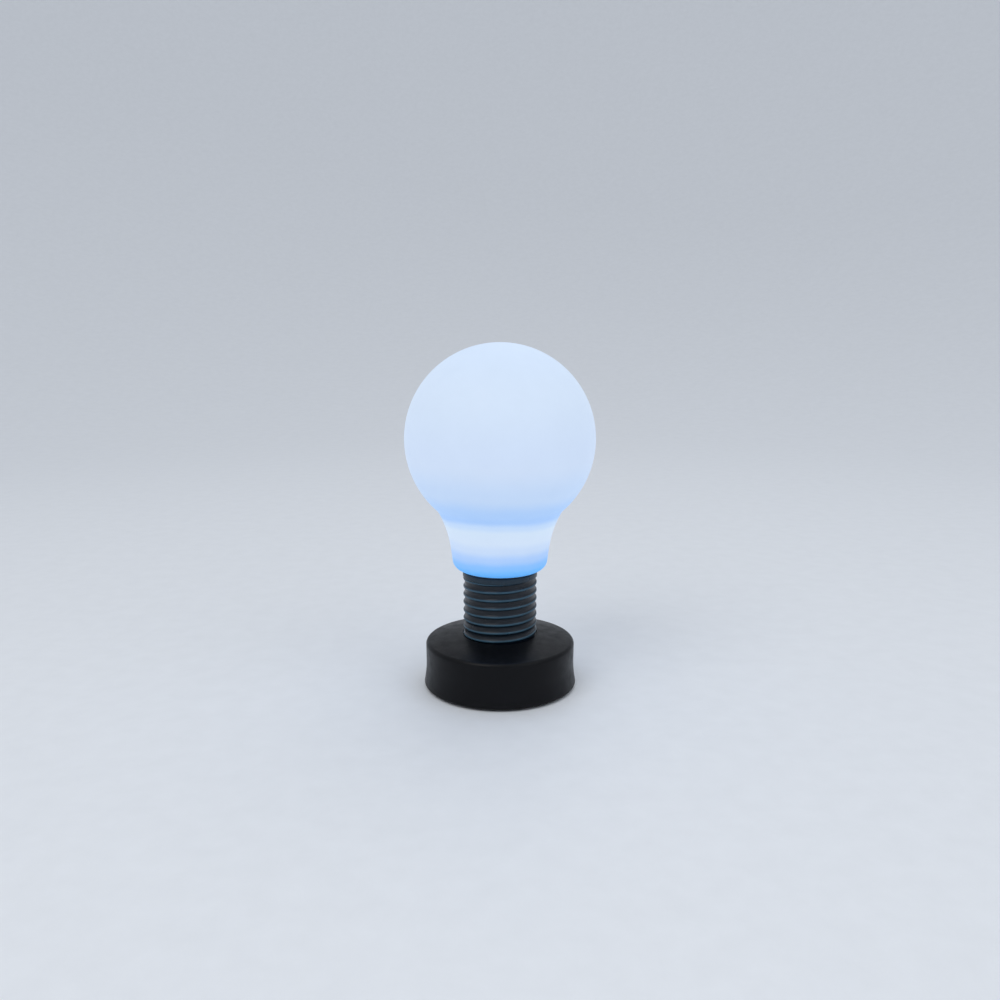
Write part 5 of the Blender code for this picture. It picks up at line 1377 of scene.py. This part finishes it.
def makeInductor():
    middle, size = placeOf("power_inductor")[:2]
    body = roundedBox(size, 0.9 * mm, 0.2 * mm, 5)
    cup = put(rod(1.85 * mm, 0.5 * mm, 40), z=size.z / 2)
    body = tint(combine(body, cup), 0)
    winding = tint(put(turned((0.5 * mm, -0.2 * mm), [(1.75 * mm, -0.2 * mm), (1.75 * mm, 0.0),
                                                      (1.5 * mm, 0.1 * mm), (1.2 * mm, 0.0),
                                                      (0.9 * mm, 0.1 * mm), (0.5 * mm, 0.0)], 40,
                              closed=True), z=size.z / 2 - 0.15 * mm), 1)
    pads = [tint(put(roundedBox((0.9 * mm, 2.4 * mm, 0.5 * mm), 0.0, 0.06 * mm),
                     side * (size.x / 2 - 0.42 * mm), 0, -size.z / 2 + 0.25 * mm), 2)
            for side in (-1, 1)]
    piece("power_coil", put(gather(body, winding, *pads), *middle),
          [ferrite, copperWire, copperTin], "power_inductor")


def makeCapacitor():
    middle, size, low = placeOf("storage_capacitor")[:3]
    r, h = size.x / 2, size.z
    sleeve = turned((0.0, 0.0), [(r - 0.3 * mm, 0.0), (r, 0.3 * mm), (r, 0.9 * mm),
                                 (r - 0.3 * mm, 1.25 * mm), (r, 1.6 * mm),
                                 (r, h - 0.35 * mm), (r - 0.35 * mm, h - 0.35 * mm, 90.0, 5),
                                 (r - 0.7 * mm, h), (r - 0.8 * mm, h - 0.12 * mm),
                                 (0.0, h - 0.12 * mm)], 56)
    for turn in (0.0, pi / 2):                 # the scored vent in the can's top
        sleeve = combine(sleeve, put(roundedBox((3.4 * mm, 0.16 * mm, 0.16 * mm)), z=h - 0.13 * mm,
                                     turn=turn + pi / 4))
    for face in sleeve.faces:
        spot = face.calc_center_median()
        face.material_index = 1 if spot.z > h - 0.2 * mm and spot.xy.length < r - 0.75 * mm else 0
    put(sleeve, middle.x, middle.y, low.z)
    piece("smoothing_capacitor", sleeve, [capacitorSleeve, cellMetal], "storage_capacitor")


def makeModule():
    middle, size = placeOf("wireless_module")[:2]
    base = tint(put(roundedBox((size.x, size.y, 0.8 * mm), 0.3 * mm), z=size.z / 2 - 0.4 * mm), 1)
    can = roundedBox((size.x - 5.2 * mm, size.y - 1.0 * mm, size.z - 0.8 * mm), 0.4 * mm, 0.15 * mm)
    put(can, 1.9 * mm, 0, -0.4 * mm)
    can = tint(can, 0)
    track = []
    for index in range(5):                     # the folded aerial at one end
        track.append(tint(put(roundedBox((0.35 * mm, size.y - 2.2 * mm, 0.08 * mm)),
                              -size.x / 2 + 0.8 * mm + index * 0.75 * mm, 0,
                              size.z / 2 - 0.82 * mm), 2))
    for index in range(4):
        side = 1 if index % 2 else -1
        track.append(tint(put(roundedBox((1.1 * mm, 0.35 * mm, 0.08 * mm)),
                              -size.x / 2 + 1.17 * mm + index * 0.75 * mm,
                              side * (size.y / 2 - 1.25 * mm), size.z / 2 - 0.82 * mm), 2))
    piece("radio_module", put(gather(base, can, *track), *middle),
          [shieldCan, greenBoard, copperTin], "wireless_module")


switchSizes = {"depth": 2.9 * mm, "half": 3.0 * mm, "cover": 0.3 * mm, "plunger": 1.2 * mm,
               "stud": 0.35 * mm, "studY": 2.3 * mm, "studZ": 1.3 * mm}


def makeSwitch():
    s = switchSizes
    middle, size = placeOf("tact_switch")[:2]
    turn = radians(baseSizes["buttonAngle"])
    reach = [v.co.x * cos(turn) + v.co.y * sin(turn)
             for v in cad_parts["tact_switch"].data.vertices]
    back, front = min(reach), max(reach)
    depth, half, cover = s["depth"], s["half"], s["cover"]
    body = tint(put(roundedBox((depth - cover, 2 * half, size.z), 0.0, 0.15 * mm), -cover / 2), 0)
    lid = tint(put(roundedBox((cover, 2 * half, size.z), 0.0, 0.08 * mm), (depth - cover) / 2), 1)
    studs = []
    for y in (-1, 1):
        for z in (-1, 1):
            stud = put(rod(s["stud"], 0.16 * mm, 20, 0.05 * mm), tilt=("Y", pi / 2))
            put(stud, depth / 2 + 0.06 * mm, y * s["studY"], z * s["studZ"])
            studs.append(tint(stud, 2))
    plunger = put(rod(s["plunger"], front - back - depth + 0.2 * mm, 40, 0.15 * mm),
                  tilt=("Y", pi / 2))
    plunger = tint(put(plunger, depth / 2 + (front - back - depth) / 2 - 0.1 * mm), 2)
    bm = gather(body, lid, plunger, *studs)
    put(bm, back + depth / 2, 0, 0)
    piece("push_switch", put(bm, 0, 0, middle.z, turn), [switchBody, shieldCan, insertBlack],
          "tact_switch")


makeControlBoard()
makeChip()
makeInductor()
makeCapacitor()
makeModule()
makeSwitch()
print("electronics ready")
